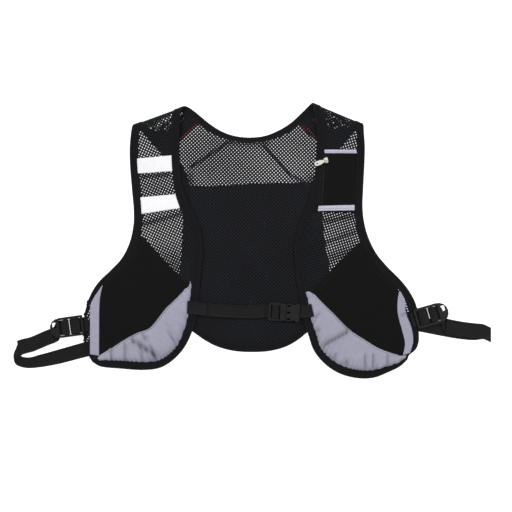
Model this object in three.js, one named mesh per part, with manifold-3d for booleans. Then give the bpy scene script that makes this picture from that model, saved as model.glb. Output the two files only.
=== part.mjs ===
// Running hydration vest, laid flat on its back with its front closed by the chest strap.
// Millimetres, +Z up, +Y towards the neck. Left and right are as seen from the front.
import * as THREE from 'three';
import Module from 'manifold-3d';

const wasm = await Module();
wasm.setup();

// Driving sizes. The outline tables hold shares of the first two.
const HALF_WIDTH = 248; // centre line to the side seam where the side stripes start
const STRAP_TO_SHOULDER = 310; // chest strap's middle up to the highest shoulder fold
const CLEARANCE = 0.35; // between pieces that meet face to face
const SEAM_GAP = 0.9; // between a panel and the binding round its curved edge

const FOLD_RADIUS = 5; // middle of the cloth where it turns over the shoulder
const FOLD_FALL = 85; // length over which the front settles from the fold onto the back
const BINDING_WIDTH = 14;
const BINDING_THICKNESS = 3;
const MESH_THICKNESS = 1.2;
const SHELL_THICKNESS = 1.1;
const FACE_THICKNESS = 1; // pocket cloth, reflective panels and strips
const FACE_GAP = 0.45; // between a face and the mesh under it
const POCKET_FULLNESS = 1.2; // how far the pocket faces crown over the mesh
const GATHER_HEIGHT = 0.7; // ripples where the pockets are gathered into the hem
const GATHER_PITCH = 32;

const FRONT_REST = 1.5; // front's middle height beside the arms, on the ground
const FRONT_OVER_STRAPS = 3.4; // where the side straps pass under it
const FRONT_OVER_BACK = 5.1; // where it lies on the back
const BACK_REST = BINDING_THICKNESS / 2;
const BACK_MESH_REST = 2; // the mesh's middle, over the shell
const BACK_EDGE = 130; // from here to the centre the front lies on the back at full height
const BACK_RAMP = 30; // and comes down to the ground over this width beyond it

const CHEST_WEBBING_WIDTH = 20;
const SIDE_WEBBING_WIDTH = 23;
const WEBBING_THICKNESS = 1.4;

const LOCK_LENGTH = 52;
const LOCK_BAR_THICKNESS = 2;
const LOCK_RAIL_HEIGHT = 4.4;
const LOCK_RAIL_WIDTH = 3.6;
const LOCK_SIDE_CLEARANCE = 0.4; // between the webbing and each rail
const LOCK_WIDTH = SIDE_WEBBING_WIDTH + 2 * (LOCK_RAIL_WIDTH + LOCK_SIDE_CLEARANCE);
const LOCK_REST = 6.1; // underside, above three layers of webbing

const BUCKLE_LENGTH = 48;
const BUCKLE_WIDTH = 28;
const BUCKLE_BAR_THICKNESS = 2;
const BUCKLE_THICKNESS = 4.6;
const BUCKLE_REST = 5.3;

const ZIP_WIDTH = 3.6;
const SLIDER_LENGTH = 8;
const SLIDER_WIDTH = 5.6;
const SLIDER_THICKNESS = 2;
const PULL_AXIS = 1.2; // above the slider's body
const BRIDGE_RISE = 2.3; // bridge's underside above the slider's body
const BRIDGE_THICKNESS = 1.2;
const BRIDGE_SPAN = 5.2;
const POST_WIDTH = 1;
const PULL_LENGTH = 20;
const PULL_WIDTH = 7;
const PULL_THICKNESS = 1.4;
const PULL_EYE = { from: 0.6, to: 3.7, half: 1 }; // hole from the axis outwards, and half its width
const PULL_REST_ANGLE = 4; // degrees that the lying pull points below level

const TAPE_WIDTH = 5.5;
const TAPE_SPACING = 21;
const TAPE_LENGTH = 38;
const TAPE_INSET = 5; // upper tapes start this much further from the neck
const TAB_HEIGHT = 5.3; // middle of the side tabs' webbing, over the mesh

// Outer edges of the bindings. u and v are shares of HALF_WIDTH and STRAP_TO_SHOULDER,
// w is a share of BINDING_WIDTH, and face says which side of the shoulder fold a row is on.
const BACK = -1;
const FRONT = 1;

const SHOULDERS = {
  left: { cornerU: -0.747, cornerV: 0.895, peakU: -0.422, peakV: 0.99 },
  right: { cornerU: 0.691, cornerV: 0.9, peakU: 0.391, peakV: 1.0 },
};

const OPENING = {
  left: [
    { u: -0.35, v: 0.96, w: 0.75, face: BACK },
    { u: -0.388, v: 0.983, w: 0.8, face: BACK },
    { u: -0.444, v: 0.96, w: 0.86, face: FRONT },
    { u: -0.453, v: 0.9, w: 0.89, face: FRONT },
    { u: -0.453, v: 0.775, w: 0.87, face: FRONT },
    { u: -0.45, v: 0.675, w: 0.83, face: FRONT },
    { u: -0.434, v: 0.585, w: 0.9, face: FRONT },
    { u: -0.403, v: 0.515, w: 1.0, face: FRONT },
    { u: -0.359, v: 0.445, w: 1.15, face: FRONT },
    { u: -0.322, v: 0.375, w: 1.12, face: FRONT },
    { u: -0.309, v: 0.275, w: 1.2, face: FRONT },
    { u: -0.319, v: 0.165, w: 1.1, face: FRONT },
    { u: -0.334, v: 0.05, w: 1.05, face: FRONT },
    { u: -0.35, v: -0.065, w: 1.07, face: FRONT },
    { u: -0.388, v: -0.155, w: 0.98, face: FRONT },
    { u: -0.428, v: -0.215, w: 0.9, face: FRONT },
    { u: -0.497, v: -0.275, w: 0.9, face: FRONT },
    { u: -0.578, v: -0.313, w: 0.95, face: FRONT },
    { u: -0.672, v: -0.324, w: 1.0, face: FRONT },
    { u: -0.822, v: -0.317, w: 1.0, face: FRONT },
    { u: -0.953, v: -0.305, w: 0.85, face: FRONT },
    { u: -1.0, v: -0.283, w: 0.5, face: FRONT },
  ],
  right: [
    { u: 0.315, v: 0.966, w: 0.75, face: BACK },
    { u: 0.347, v: 0.992, w: 0.8, face: BACK },
    { u: 0.378, v: 0.975, w: 0.86, face: FRONT },
    { u: 0.393, v: 0.93, w: 0.89, face: FRONT },
    { u: 0.4, v: 0.865, w: 0.89, face: FRONT },
    { u: 0.4, v: 0.765, w: 0.87, face: FRONT },
    { u: 0.391, v: 0.675, w: 0.8, face: FRONT },
    { u: 0.372, v: 0.595, w: 0.82, face: FRONT },
    { u: 0.347, v: 0.515, w: 0.85, face: FRONT },
    { u: 0.309, v: 0.44, w: 0.9, face: FRONT },
    { u: 0.278, v: 0.37, w: 0.97, face: FRONT },
    { u: 0.259, v: 0.285, w: 1.0, face: FRONT },
    { u: 0.2625, v: 0.205, w: 0.97, face: FRONT },
    { u: 0.278, v: 0.11, w: 0.9, face: FRONT },
    { u: 0.3, v: 0.01, w: 0.95, face: FRONT },
    { u: 0.319, v: -0.08, w: 0.95, face: FRONT },
    { u: 0.35, v: -0.155, w: 0.97, face: FRONT },
    { u: 0.378, v: -0.22, w: 0.92, face: FRONT },
    { u: 0.428, v: -0.275, w: 0.95, face: FRONT },
    { u: 0.491, v: -0.318, w: 1.0, face: FRONT },
    { u: 0.572, v: -0.35, w: 1.03, face: FRONT },
    { u: 0.672, v: -0.366, w: 1.05, face: FRONT },
    { u: 0.759, v: -0.362, w: 0.98, face: FRONT },
    { u: 0.847, v: -0.335, w: 0.8, face: FRONT },
    { u: 0.922, v: -0.305, w: 0.6, face: FRONT },
    { u: 0.966, v: -0.272, w: 0.42, face: FRONT },
  ],
};

const ARMHOLE = {
  left: [
    { u: -0.489, v: 0.02, w: 0.89, face: BACK },
    { u: -0.472, v: 0.08, w: 0.89, face: BACK },
    { u: -0.45, v: 0.2, w: 0.89, face: BACK },
    { u: -0.4375, v: 0.35, w: 0.89, face: BACK },
    { u: -0.434, v: 0.485, w: 0.89, face: BACK },
    { u: -0.444, v: 0.585, w: 0.89, face: BACK },
    { u: -0.481, v: 0.67, w: 0.89, face: BACK },
    { u: -0.553, v: 0.74, w: 0.89, face: BACK },
    { u: -0.634, v: 0.8125, w: 0.86, face: BACK },
    { u: -0.703, v: 0.875, w: 0.83, face: BACK },
    { u: -0.756, v: 0.85, w: 0.87, face: FRONT },
    { u: -0.764, v: 0.775, w: 0.89, face: FRONT },
    { u: -0.763, v: 0.685, w: 0.9, face: FRONT },
    { u: -0.753, v: 0.575, w: 0.93, face: FRONT },
    { u: -0.742, v: 0.475, w: 0.95, face: FRONT },
    { u: -0.744, v: 0.4, w: 0.92, face: FRONT },
    { u: -0.769, v: 0.31, w: 0.85, face: FRONT },
    { u: -0.816, v: 0.235, w: 0.8, face: FRONT },
    { u: -0.884, v: 0.175, w: 0.7, face: FRONT },
    { u: -0.947, v: 0.1275, w: 0.6, face: FRONT },
    { u: -0.984, v: 0.09, w: 0.45, face: FRONT },
    { u: -1.006, v: 0.06, w: 0.3, face: FRONT },
  ],
  right: [
    { u: 0.501, v: 0.02, w: 0.83, face: BACK },
    { u: 0.494, v: 0.08, w: 0.83, face: BACK },
    { u: 0.478, v: 0.195, w: 0.83, face: BACK },
    { u: 0.453, v: 0.315, w: 0.83, face: BACK },
    { u: 0.4375, v: 0.435, w: 0.83, face: BACK },
    { u: 0.434, v: 0.55, w: 0.83, face: BACK },
    { u: 0.453, v: 0.665, w: 0.83, face: BACK },
    { u: 0.509, v: 0.745, w: 0.83, face: BACK },
    { u: 0.578, v: 0.81, w: 0.81, face: BACK },
    { u: 0.65, v: 0.878, w: 0.78, face: BACK },
    { u: 0.6925, v: 0.86, w: 0.75, face: FRONT },
    { u: 0.699, v: 0.785, w: 0.83, face: FRONT },
    { u: 0.697, v: 0.685, w: 0.9, face: FRONT },
    { u: 0.691, v: 0.575, w: 0.93, face: FRONT },
    { u: 0.6875, v: 0.49, w: 0.92, face: FRONT },
    { u: 0.697, v: 0.415, w: 0.88, face: FRONT },
    { u: 0.725, v: 0.335, w: 0.84, face: FRONT },
    { u: 0.772, v: 0.26, w: 0.82, face: FRONT },
    { u: 0.841, v: 0.1925, w: 0.82, face: FRONT },
    { u: 0.916, v: 0.1325, w: 0.8, face: FRONT },
    { u: 0.972, v: 0.0775, w: 0.8, face: FRONT },
    { u: 1.009, v: 0.025, w: 0.85, face: FRONT },
    { u: 1.031, v: -0.025, w: 0.85, face: FRONT },
  ],
};

const NECK = [
  { u: -0.344, v: 0.956, w: 0.75, face: BACK },
  { u: -0.266, v: 0.905, w: 0.72, face: BACK },
  { u: -0.191, v: 0.8675, w: 0.6, face: BACK },
  { u: -0.109, v: 0.845, w: 0.5, face: BACK },
  { u: -0.016, v: 0.8375, w: 0.5, face: BACK },
  { u: 0.078, v: 0.846, w: 0.55, face: BACK },
  { u: 0.159, v: 0.871, w: 0.65, face: BACK },
  { u: 0.241, v: 0.9115, w: 0.72, face: BACK },
  { u: 0.309, v: 0.962, w: 0.75, face: BACK },
];

const BACK_HEM = [
  { u: -0.497, v: -0.045, w: 0.94, face: BACK },
  { u: -0.441, v: -0.0925, w: 0.94, face: BACK },
  { u: -0.378, v: -0.13, w: 0.94, face: BACK },
  { u: -0.306, v: -0.1715, w: 0.94, face: BACK },
  { u: -0.228, v: -0.205, w: 0.94, face: BACK },
  { u: -0.122, v: -0.2285, w: 0.94, face: BACK },
  { u: -0.003, v: -0.235, w: 0.94, face: BACK },
  { u: 0.116, v: -0.2285, w: 0.94, face: BACK },
  { u: 0.216, v: -0.205, w: 0.94, face: BACK },
  { u: 0.291, v: -0.17, w: 0.94, face: BACK },
  { u: 0.347, v: -0.1325, w: 0.94, face: BACK },
  { u: 0.416, v: -0.09, w: 0.94, face: BACK },
  { u: 0.491, v: -0.045, w: 0.94, face: BACK },
];

// Raw side edge of the mesh below the armhole binding, down to the hem.
const GUSSET = {
  left: [
    { u: -1.028, v: 0.015 },
    { u: -1.047, v: -0.04 },
    { u: -1.053, v: -0.12 },
    { u: -1.05, v: -0.19 },
    { u: -1.034, v: -0.235 },
  ],
  right: [
    { u: 1.02, v: -0.1 },
    { u: 1.03, v: -0.145 },
    { u: 1.03, v: -0.18 },
    { u: 1.013, v: -0.215 },
    { u: 0.985, v: -0.232 },
  ],
};

// Edges inside the front panels: the pocket's mouth, the swept seam between pocket and
// reflective panel, and the two long edges of each side stripe.
const POCKET_MOUTH = {
  left: [
    { u: -0.703, v: 0.325 },
    { u: -0.66, v: 0.297 },
    { u: -0.59, v: 0.245 },
    { u: -0.513, v: 0.183 },
    { u: -0.45, v: 0.135 },
    { u: -0.4, v: 0.105 },
  ],
  right: [
    { u: 0.672, v: 0.32 },
    { u: 0.622, v: 0.28 },
    { u: 0.55, v: 0.225 },
    { u: 0.478, v: 0.165 },
    { u: 0.422, v: 0.12 },
    { u: 0.372, v: 0.078 },
  ],
};
const SWEPT_SEAM = {
  left: [
    { u: -0.392, v: 0.1 },
    { u: -0.478, v: 0.03 },
    { u: -0.541, v: -0.018 },
    { u: -0.591, v: -0.07 },
    { u: -0.645, v: -0.117 },
    { u: -0.722, v: -0.14 },
    { u: -0.806, v: -0.177 },
    { u: -0.878, v: -0.215 },
    { u: -0.947, v: -0.248 },
  ],
  right: [
    { u: 0.366, v: 0.072 },
    { u: 0.422, v: 0.022 },
    { u: 0.516, v: -0.052 },
    { u: 0.601, v: -0.121 },
    { u: 0.709, v: -0.178 },
    { u: 0.78, v: -0.213 },
    { u: 0.852, v: -0.236 },
    { u: 0.912, v: -0.25 },
  ],
};
const STRIPE_INNER = {
  left: [
    { u: -0.942, v: 0.066 },
    { u: -0.952, v: 0.04 },
    { u: -0.954, v: 0 },
    { u: -0.956, v: -0.13 },
    { u: -0.957, v: -0.252 },
  ],
  right: [
    { u: 0.914, v: 0.07 },
    { u: 0.904, v: 0.02 },
    { u: 0.905, v: -0.04 },
    { u: 0.93, v: -0.12 },
    { u: 0.95, v: -0.19 },
    { u: 0.938, v: -0.25 },
  ],
};
const STRIPE_OUTER = {
  left: [
    { u: -0.962, v: 0.048 },
    { u: -0.992, v: 0.03 },
    { u: -1.01, v: 0 },
    { u: -1.013, v: -0.1 },
    { u: -1.013, v: -0.245 },
  ],
  right: [
    { u: 0.926, v: 0.065 },
    { u: 0.951, v: 0.02 },
    { u: 0.955, v: -0.035 },
    { u: 0.99, v: -0.11 },
    { u: 1.002, v: -0.18 },
    { u: 0.982, v: -0.238 },
  ],
};

// Strips and pocket on the shoulders, by the heights of their upper and lower edges at
// the armhole side and at the opening side.
const WHITE_STRIPS = [
  { name: 'white_strip_upper', upperArm: 0.732, upperOpening: 0.747, lowerArm: 0.652, lowerOpening: 0.664 },
  { name: 'white_strip_lower', upperArm: 0.538, upperOpening: 0.552, lowerArm: 0.457, lowerOpening: 0.482 },
];
const CHEST_POCKET = {
  zipSide: [
    { u: 0.466, v: 0.748 },
    { u: 0.457, v: 0.69 },
    { u: 0.45, v: 0.6 },
    { u: 0.445, v: 0.512 },
  ],
  armSide: [
    { u: 0.64, v: 0.748 },
    { u: 0.631, v: 0.69 },
    { u: 0.629, v: 0.6 },
    { u: 0.633, v: 0.512 },
  ],
};
const POCKET_STRIPS = [
  {
    name: 'chest_pocket_strip_upper',
    corners: [
      { u: 0.447, v: 0.775 },
      { u: 0.645, v: 0.775 },
      { u: 0.651, v: 0.757 },
      { u: 0.45, v: 0.757 },
    ],
  },
  {
    name: 'chest_pocket_strip_lower',
    corners: [
      { u: 0.412, v: 0.495 },
      { u: 0.636, v: 0.5 },
      { u: 0.636, v: 0.473 },
      { u: 0.406, v: 0.469 },
    ],
  },
];

// Creases of the single mesh between the shoulders: a ridge from one end to the other.
const CREASES = [
  { fromU: -0.128, fromV: 0.825, toU: -0.391, toV: 0.685, height: 1.6, width: 7 },
  { fromU: 0.066, fromV: 0.8, toU: 0.234, toV: 0.65, height: 1.4, width: 7 },
  { fromU: 0.234, fromV: 0.65, toU: 0.36, toV: 0.6, height: 1.2, width: 7 },
];
const SHELL_TOP = { leftU: -0.403, leftV: 0.595, middleV: 0.63, rightU: 0.372, rightV: 0.62 };

// Webbing routes: one row for each section, its two edges in shares and its middle height.
const CHEST_STRAP_LEFT = [
  { lowU: -0.4075, lowV: -0.041, highU: -0.404, highV: 0.022, z: 8.1 },
  { lowU: -0.341, lowV: -0.0475, highU: -0.3375, highV: 0.015, z: 7.6 },
  { lowU: -0.278, lowV: -0.056, highU: -0.278, highV: 0.009, z: 5.4 },
  { lowU: -0.141, lowV: -0.065, highU: -0.141, highV: 0.002, z: 4.1 },
  { lowU: 0.016, lowV: -0.068, highU: 0.016, highV: 0, z: 4.0 },
];
const STRAP_AT_BUCKLE = 3.9; // middle height of the long strap just before the buckle
const CHEST_TAIL_START = 2; // row of the strap over which the tail ends
const CHEST_STRAP_RIGHT = [
  { lowU: 0.297, lowV: -0.068, highU: 0.297, highV: 0.003, z: 7.6 },
  { lowU: 0.34, lowV: -0.064, highU: 0.335, highV: 0.005, z: 8 },
  { lowU: 0.383, lowV: -0.055, highU: 0.366, highV: 0.006, z: 8.5 },
];
const SIDE_STRAP_LEFT = [
  { lowU: -0.405, lowV: -0.13, highU: -0.476, highV: -0.074, z: 0.75, w: 1.07 },
  { lowU: -0.6, lowV: -0.175, highU: -0.6, highV: -0.102, z: 0.75 },
  { lowU: -0.766, lowV: -0.2075, highU: -0.766, highV: -0.13, z: 0.75 },
  { lowU: -1.022, lowV: -0.256, highU: -1.04, highV: -0.1825, z: 0.75 },
  { lowU: -1.203, lowV: -0.2925, highU: -1.203, highV: -0.22, z: 0.75 },
  { lowU: -1.328, lowV: -0.311, highU: -1.328, highV: -0.2475, z: 0.75, w: 0.86 },
  { lowU: -1.419, lowV: -0.315, highU: -1.391, highV: -0.26, z: 0.8, w: 0.78 },
  { lowU: -1.478, lowV: -0.298, highU: -1.434, highV: -0.257, z: 1.8, w: 0.7 },
  { lowU: -1.491, lowV: -0.265, highU: -1.444, highV: -0.252, z: 3.2, w: 0.53 },
  { lowU: -1.478, lowV: -0.218, highU: -1.436, highV: -0.247, z: 2.4, w: 0.6 },
  { lowU: -1.456, lowV: -0.182, highU: -1.425, highV: -0.246, z: 1.2, w: 0.9 },
  { lowU: -1.388, lowV: -0.16, highU: -1.369, highV: -0.232, z: 0.75 },
  { lowU: -1.3, lowV: -0.132, highU: -1.28, highV: -0.2, z: 0.75 },
  { lowU: -1.241, lowV: -0.1125, highU: -1.216, highV: -0.177, z: 0.75 },
];
const SIDE_TAIL_LEFT = [
  { lowU: -1.255, lowV: -0.12, highU: -1.235, highV: -0.185, z: 2.45 },
  { lowU: -1.3, lowV: -0.132, highU: -1.28, highV: -0.2, z: 2.45 },
  { lowU: -1.388, lowV: -0.16, highU: -1.369, highV: -0.232, z: 2.5 },
  { lowU: -1.438, lowV: -0.169, highU: -1.413, highV: -0.241, z: 3.6 },
  { lowU: -1.469, lowV: -0.178, highU: -1.45, highV: -0.25, z: 5 },
];
const SIDE_STRAP_RIGHT = [
  { lowU: 0.519, lowV: -0.066, highU: 0.519, highV: 0.009, z: 0.75 },
  { lowU: 0.784, lowV: -0.1, highU: 0.784, highV: -0.025, z: 0.75 },
  { lowU: 1.047, lowV: -0.133, highU: 1.053, highV: -0.06, z: 0.75 },
  { lowU: 1.172, lowV: -0.155, highU: 1.184, highV: -0.078, z: 0.75 },
  { lowU: 1.297, lowV: -0.172, highU: 1.309, highV: -0.095, z: 0.75 },
  { lowU: 1.384, lowV: -0.177, highU: 1.391, highV: -0.1, z: 0.75 },
  { lowU: 1.428, lowV: -0.17, highU: 1.431, highV: -0.099, z: 0.9 },
  { lowU: 1.439, lowV: -0.168, highU: 1.441, highV: -0.098, z: 1.7 },
  { lowU: 1.428, lowV: -0.166, highU: 1.431, highV: -0.096, z: 2.5 },
  { lowU: 1.384, lowV: -0.167, highU: 1.391, highV: -0.088, z: 2.65 },
  { lowU: 1.297, lowV: -0.16, highU: 1.309, highV: -0.078, z: 2.65 },
  { lowU: 1.2, lowV: -0.142, highU: 1.21, highV: -0.066, z: 2.65 },
];
const SIDE_TAIL_RIGHT = [
  { lowU: 1.2, lowV: -0.142, highU: 1.21, highV: -0.066, z: 4.35 },
  { lowU: 1.297, lowV: -0.16, highU: 1.309, highV: -0.078, z: 4.35 },
  { lowU: 1.384, lowV: -0.167, highU: 1.391, highV: -0.088, z: 4.35 },
  { lowU: 1.434, lowV: -0.168, highU: 1.436, highV: -0.094, z: 4.1 },
  { lowU: 1.488, lowV: -0.19, highU: 1.488, highV: -0.108, z: 2.4 },
];

// Ladder locks: where the body-side rim's middle lies, which way the tab points, the side of
// its hole, and where the webbing that holds the lock is sewn on.
const LOCKS = {
  left: { rimU: -1.053, rimV: -0.097, heading: 188, holeSide: -1, seam: -7.5 },
  right: { rimU: 1.016, rimV: -0.07, heading: 16, holeSide: 1, seam: -7 },
};
// Places along a lock from its rim and across it, as shares of its length and width.
const LOCK_CUTS = {
  rimSlot: { from: 0.06, to: 0.13 },
  midSlot: { from: 0.36, to: 0.46 },
  tabSlot: { from: 0.58, to: 0.72 },
  tabHole: { from: 0.79, to: 0.92, low: 0.02, high: 0.3 },
  railEnd: 0.72,
  tabStart: 0.62,
};
// The buckle's end at the short strap, and places along and across it as shares of its sizes.
const BUCKLE = { endU: 0.2935, endV: -0.039, heading: -3 };
const BUCKLE_CUTS = {
  slot: { from: 0.065, to: 0.155 },
  backSlot: { from: 0.3, to: 0.37 },
  frameEnd: 0.42,
  lobeStart: 0.34,
  lobeEnd: 0.56,
  windowEnd: 0.7,
  waist: 0.82,
  flare: 0.9,
  slotHalf: 0.37,
  lobeHalf: 0.24,
  windowHalf: 0.045,
  windowOffset: 0.36,
  waistHalf: 0.4,
};

const COLOURS = {
  mesh: '#191a1e',
  binding: '#131316',
  shell: '#17181b',
  pocket: '#18191a',
  chestPocket: '#1b1c1d',
  reflective: '#a09fae',
  reflectiveStrip: '#cbc9dc',
  white: '#fafafd',
  redTape: '#8d1f2c',
  webbing: '#212123',
  plastic: '#232425',
  zip: '#161617',
  metal: '#d7d4cb',
};
const FINISH = { cloth: 0.85, plastic: 0.45, metal: 0.3, metalness: 0.9 };

const object = new THREE.Group();

function add(name, geometry, colour, roughness = FINISH.cloth, metalness = 0) {
  const material = new THREE.MeshStandardMaterial({ color: colour, roughness, metalness });
  const mesh = new THREE.Mesh(geometry, material);
  mesh.name = name;
  object.add(mesh);
  return mesh;
}

// Plan coordinates of a share pair.
const plan = (u, v) => ({ x: u * HALF_WIDTH, y: v * STRAP_TO_SHOULDER });

const ease = (t) => {
  const s = Math.min(1, Math.max(0, t));
  return s * s * (3 - 2 * s);
};

// A shoulder is a cloth turned over a straight fold line. Its unrolled cloth has
// coordinates a along the fold and b across it, with b below zero on the back.
const QUARTER_TURN = (FOLD_RADIUS * Math.PI) / 2;
const foldOf = ({ cornerU, cornerV, peakU, peakV }) => {
  const corner = plan(cornerU, cornerV);
  const peak = plan(peakU, peakV);
  const length = Math.hypot(peak.x - corner.x, peak.y - corner.y);
  const along = { x: (peak.x - corner.x) / length, y: (peak.y - corner.y) / length };
  const turn = along.x > 0 ? 1 : -1;
  const inward = { x: along.y * turn, y: -along.x * turn };
  return { corner, along, inward };
};
const FOLDS = { left: foldOf(SHOULDERS.left), right: foldOf(SHOULDERS.right) };

function unroll(fold, { x, y }, face) {
  const dx = x - fold.corner.x;
  const dy = y - fold.corner.y;
  const a = dx * fold.along.x + dy * fold.along.y;
  const reach = dx * fold.inward.x + dy * fold.inward.y;
  const near = Math.max(0, Math.min(1, reach / FOLD_RADIUS));
  const b = reach >= FOLD_RADIUS ? reach - FOLD_RADIUS + QUARTER_TURN : FOLD_RADIUS * Math.acos(1 - near);
  return { a, b: b * face };
}

// Resting height of the front's middle where the fold no longer lifts it.
function frontRest(x, y) {
  const overBack = ease((BACK_EDGE + BACK_RAMP - Math.abs(x)) / BACK_RAMP);
  const overStraps = ease((STRAP_TO_SHOULDER * 0.26 - y) / (STRAP_TO_SHOULDER * 0.24));
  const side = FRONT_REST + (FRONT_OVER_STRAPS - FRONT_REST) * overStraps;
  return side + (FRONT_OVER_BACK - side) * overBack;
}

function roll(fold, a, b) {
  const turned = Math.abs(b) < QUARTER_TURN;
  const angle = b / FOLD_RADIUS;
  const reach = turned ? FOLD_RADIUS * (1 - Math.cos(angle)) : Math.abs(b) - QUARTER_TURN + FOLD_RADIUS;
  const x = fold.corner.x + a * fold.along.x + reach * fold.inward.x;
  const y = fold.corner.y + a * fold.along.y + reach * fold.inward.y;
  let z = BACK_REST;
  if (turned) {
    z = BACK_REST + FOLD_RADIUS * (1 + Math.sin(angle));
  } else if (b > 0) {
    const rest = frontRest(x, y);
    const fall = ease((reach - FOLD_RADIUS) / FOLD_FALL);
    z = rest + (BACK_REST + 2 * FOLD_RADIUS - rest) * (1 - fall);
  }
  return new THREE.Vector3(x, y, z);
}

// A point of the cloth lifted from its middle by rise, outwards of the fold.
const PROBE = 0.5;
function lift(fold, { a, b }, rise) {
  const alongCloth = roll(fold, a + PROBE, b).sub(roll(fold, a - PROBE, b));
  const acrossCloth = roll(fold, a, b + PROBE).sub(roll(fold, a, b - PROBE));
  const normal = alongCloth.cross(acrossCloth).normalize();
  const handed = fold.along.x > 0 ? -1 : 1;
  return roll(fold, a, b).addScaledVector(normal, rise * handed);
}

// Flat pieces of the back have no fold: their cloth coordinates are the plan's.
const flatLift = (height) => ({ a, b }, rise) => new THREE.Vector3(a, b, height({ x: a, y: b }) + rise);

// Smooth line through the rows, with the width carried along.
function spline(rows, locate, perRow) {
  const points = rows.map((row) => {
    const { a, b } = locate(row);
    return new THREE.Vector3(a, b, (row.w ?? 0) * BINDING_WIDTH);
  });
  const curve = new THREE.CatmullRomCurve3(points, false, 'centripetal');
  const count = (rows.length - 1) * perRow;
  return Array.from({ length: count + 1 }, (_, i) => {
    const p = curve.getPoint(i / count);
    return { a: p.x, b: p.y, w: p.z };
  });
}

// The line moved sideways by its own width and extra; side 1 is to the left of travel.
function inset(line, side, extra = 0) {
  return line.map((p, i) => {
    const before = line[Math.max(0, i - 1)];
    const after = line[Math.min(line.length - 1, i + 1)];
    const length = Math.hypot(after.a - before.a, after.b - before.b);
    const shift = ((p.w + extra) * side) / length;
    return { a: p.a - (after.b - before.b) * shift, b: p.b + (after.a - before.a) * shift, w: 0 };
  });
}

const evenShares = (count) => Array.from({ length: count + 1 }, (_, i) => i / count);

// The same line at the given shares of its length.
function resample(line, shares) {
  const lengths = [0];
  for (let i = 1; i < line.length; i += 1) {
    lengths.push(lengths[i - 1] + Math.hypot(line[i].a - line[i - 1].a, line[i].b - line[i - 1].b));
  }
  const total = lengths[lengths.length - 1];
  let at = 0;
  return shares.map((share) => {
    const wanted = total * share;
    while (at < line.length - 2 && lengths[at + 1] < wanted) at += 1;
    const t = Math.min(1, (wanted - lengths[at]) / (lengths[at + 1] - lengths[at] || 1));
    const mix = (key) => line[at][key] + (line[at + 1][key] - line[at][key]) * t;
    return { a: mix('a'), b: mix('b') };
  });
}

const between = (p, q, t) => ({ a: p.a + (q.a - p.a) * t, b: p.b + (q.b - p.b) * t });

// Coons patch: near and far run the same way, and so do start and end, which join them.
// Rows and columns are counts, or the shares at which rows lie.
function patch(near, far, start, end, rows, columns) {
  const shares = Array.isArray(rows) ? rows : evenShares(rows);
  const [n, f] = [resample(near, shares), resample(far, shares)];
  const [s, e] = [resample(start, evenShares(columns)), resample(end, evenShares(columns))];
  const last = shares.length - 1;
  return n.map((p, i) => s.map((q, j) => {
    const t = shares[i];
    const k = j / columns;
    const ruled = between(p, f[i], k);
    const other = between(q, e[j], t);
    const corner = between(between(n[0], f[0], k), between(n[last], f[last], k), t);
    return { a: ruled.a + other.a - corner.a, b: ruled.b + other.b - corner.b };
  }));
}

function solid(vertices, faces) {
  const geometry = new THREE.BufferGeometry();
  const numbers = vertices.flatMap((p) => [p.x, p.y, p.z]);
  geometry.setAttribute('position', new THREE.Float32BufferAttribute(numbers, 3));
  const volume = faces.reduce((sum, [i, j, k]) => {
    const cross = new THREE.Vector3().crossVectors(vertices[j], vertices[k]);
    return sum + vertices[i].dot(cross);
  }, 0);
  geometry.setIndex(faces.flatMap(([i, j, k]) => (volume > 0 ? [i, j, k] : [i, k, j])));
  return geometry;
}

// Cloth with a real thickness on a grid of cloth points.
function sheet(grid, raise, under, over) {
  const rows = grid.length;
  const columns = grid[0].length;
  const vertices = [];
  for (const side of [under, over]) {
    grid.forEach((row) => row.forEach((p) => vertices.push(raise(p, side(p)))));
  }
  const at = (layer, i, j) => layer * rows * columns + i * columns + j;
  const faces = [];
  const quad = (p, q, r, s) => faces.push([p, q, r], [p, r, s]);
  for (let i = 0; i + 1 < rows; i += 1) {
    for (let j = 0; j + 1 < columns; j += 1) {
      quad(at(0, i, j), at(0, i, j + 1), at(0, i + 1, j + 1), at(0, i + 1, j));
      quad(at(1, i, j), at(1, i + 1, j), at(1, i + 1, j + 1), at(1, i, j + 1));
    }
  }
  for (let i = 0; i + 1 < rows; i += 1) {
    quad(at(0, i, 0), at(0, i + 1, 0), at(1, i + 1, 0), at(1, i, 0));
    quad(at(0, i + 1, columns - 1), at(0, i, columns - 1), at(1, i, columns - 1), at(1, i + 1, columns - 1));
  }
  for (let j = 0; j + 1 < columns; j += 1) {
    quad(at(0, 0, j + 1), at(0, 0, j), at(1, 0, j), at(1, 0, j + 1));
    quad(at(0, rows - 1, j), at(0, rows - 1, j + 1), at(1, rows - 1, j + 1), at(1, rows - 1, j));
  }
  return solid(vertices, faces);
}

// A tube of the same many-sided section at every station.
function loft(stations) {
  const sides = stations[0].length;
  const faces = [];
  for (let i = 0; i + 1 < stations.length; i += 1) {
    for (let j = 0; j < sides; j += 1) {
      const next = (j + 1) % sides;
      const [p, q] = [i * sides + j, i * sides + next];
      faces.push([p, q, q + sides], [p, q + sides, p + sides]);
    }
  }
  const last = (stations.length - 1) * sides;
  for (let j = 1; j + 1 < sides; j += 1) {
    faces.push([0, j + 1, j], [last, last + j, last + j + 1]);
  }
  return solid(stations.flat(), faces);
}

// Folded binding tape: flat faces with rounded long edges.
const BINDING_ROUND = 0.16;
function binding(outer, side, raise) {
  const inner = inset(outer, side);
  const half = BINDING_THICKNESS / 2;
  return loft(outer.map((p, i) => [
    raise(p, 0),
    raise(between(p, inner[i], BINDING_ROUND), half),
    raise(between(p, inner[i], 1 - BINDING_ROUND), half),
    raise(inner[i], 0),
    raise(between(p, inner[i], 1 - BINDING_ROUND), -half),
    raise(between(p, inner[i], BINDING_ROUND), -half),
  ]));
}

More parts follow.
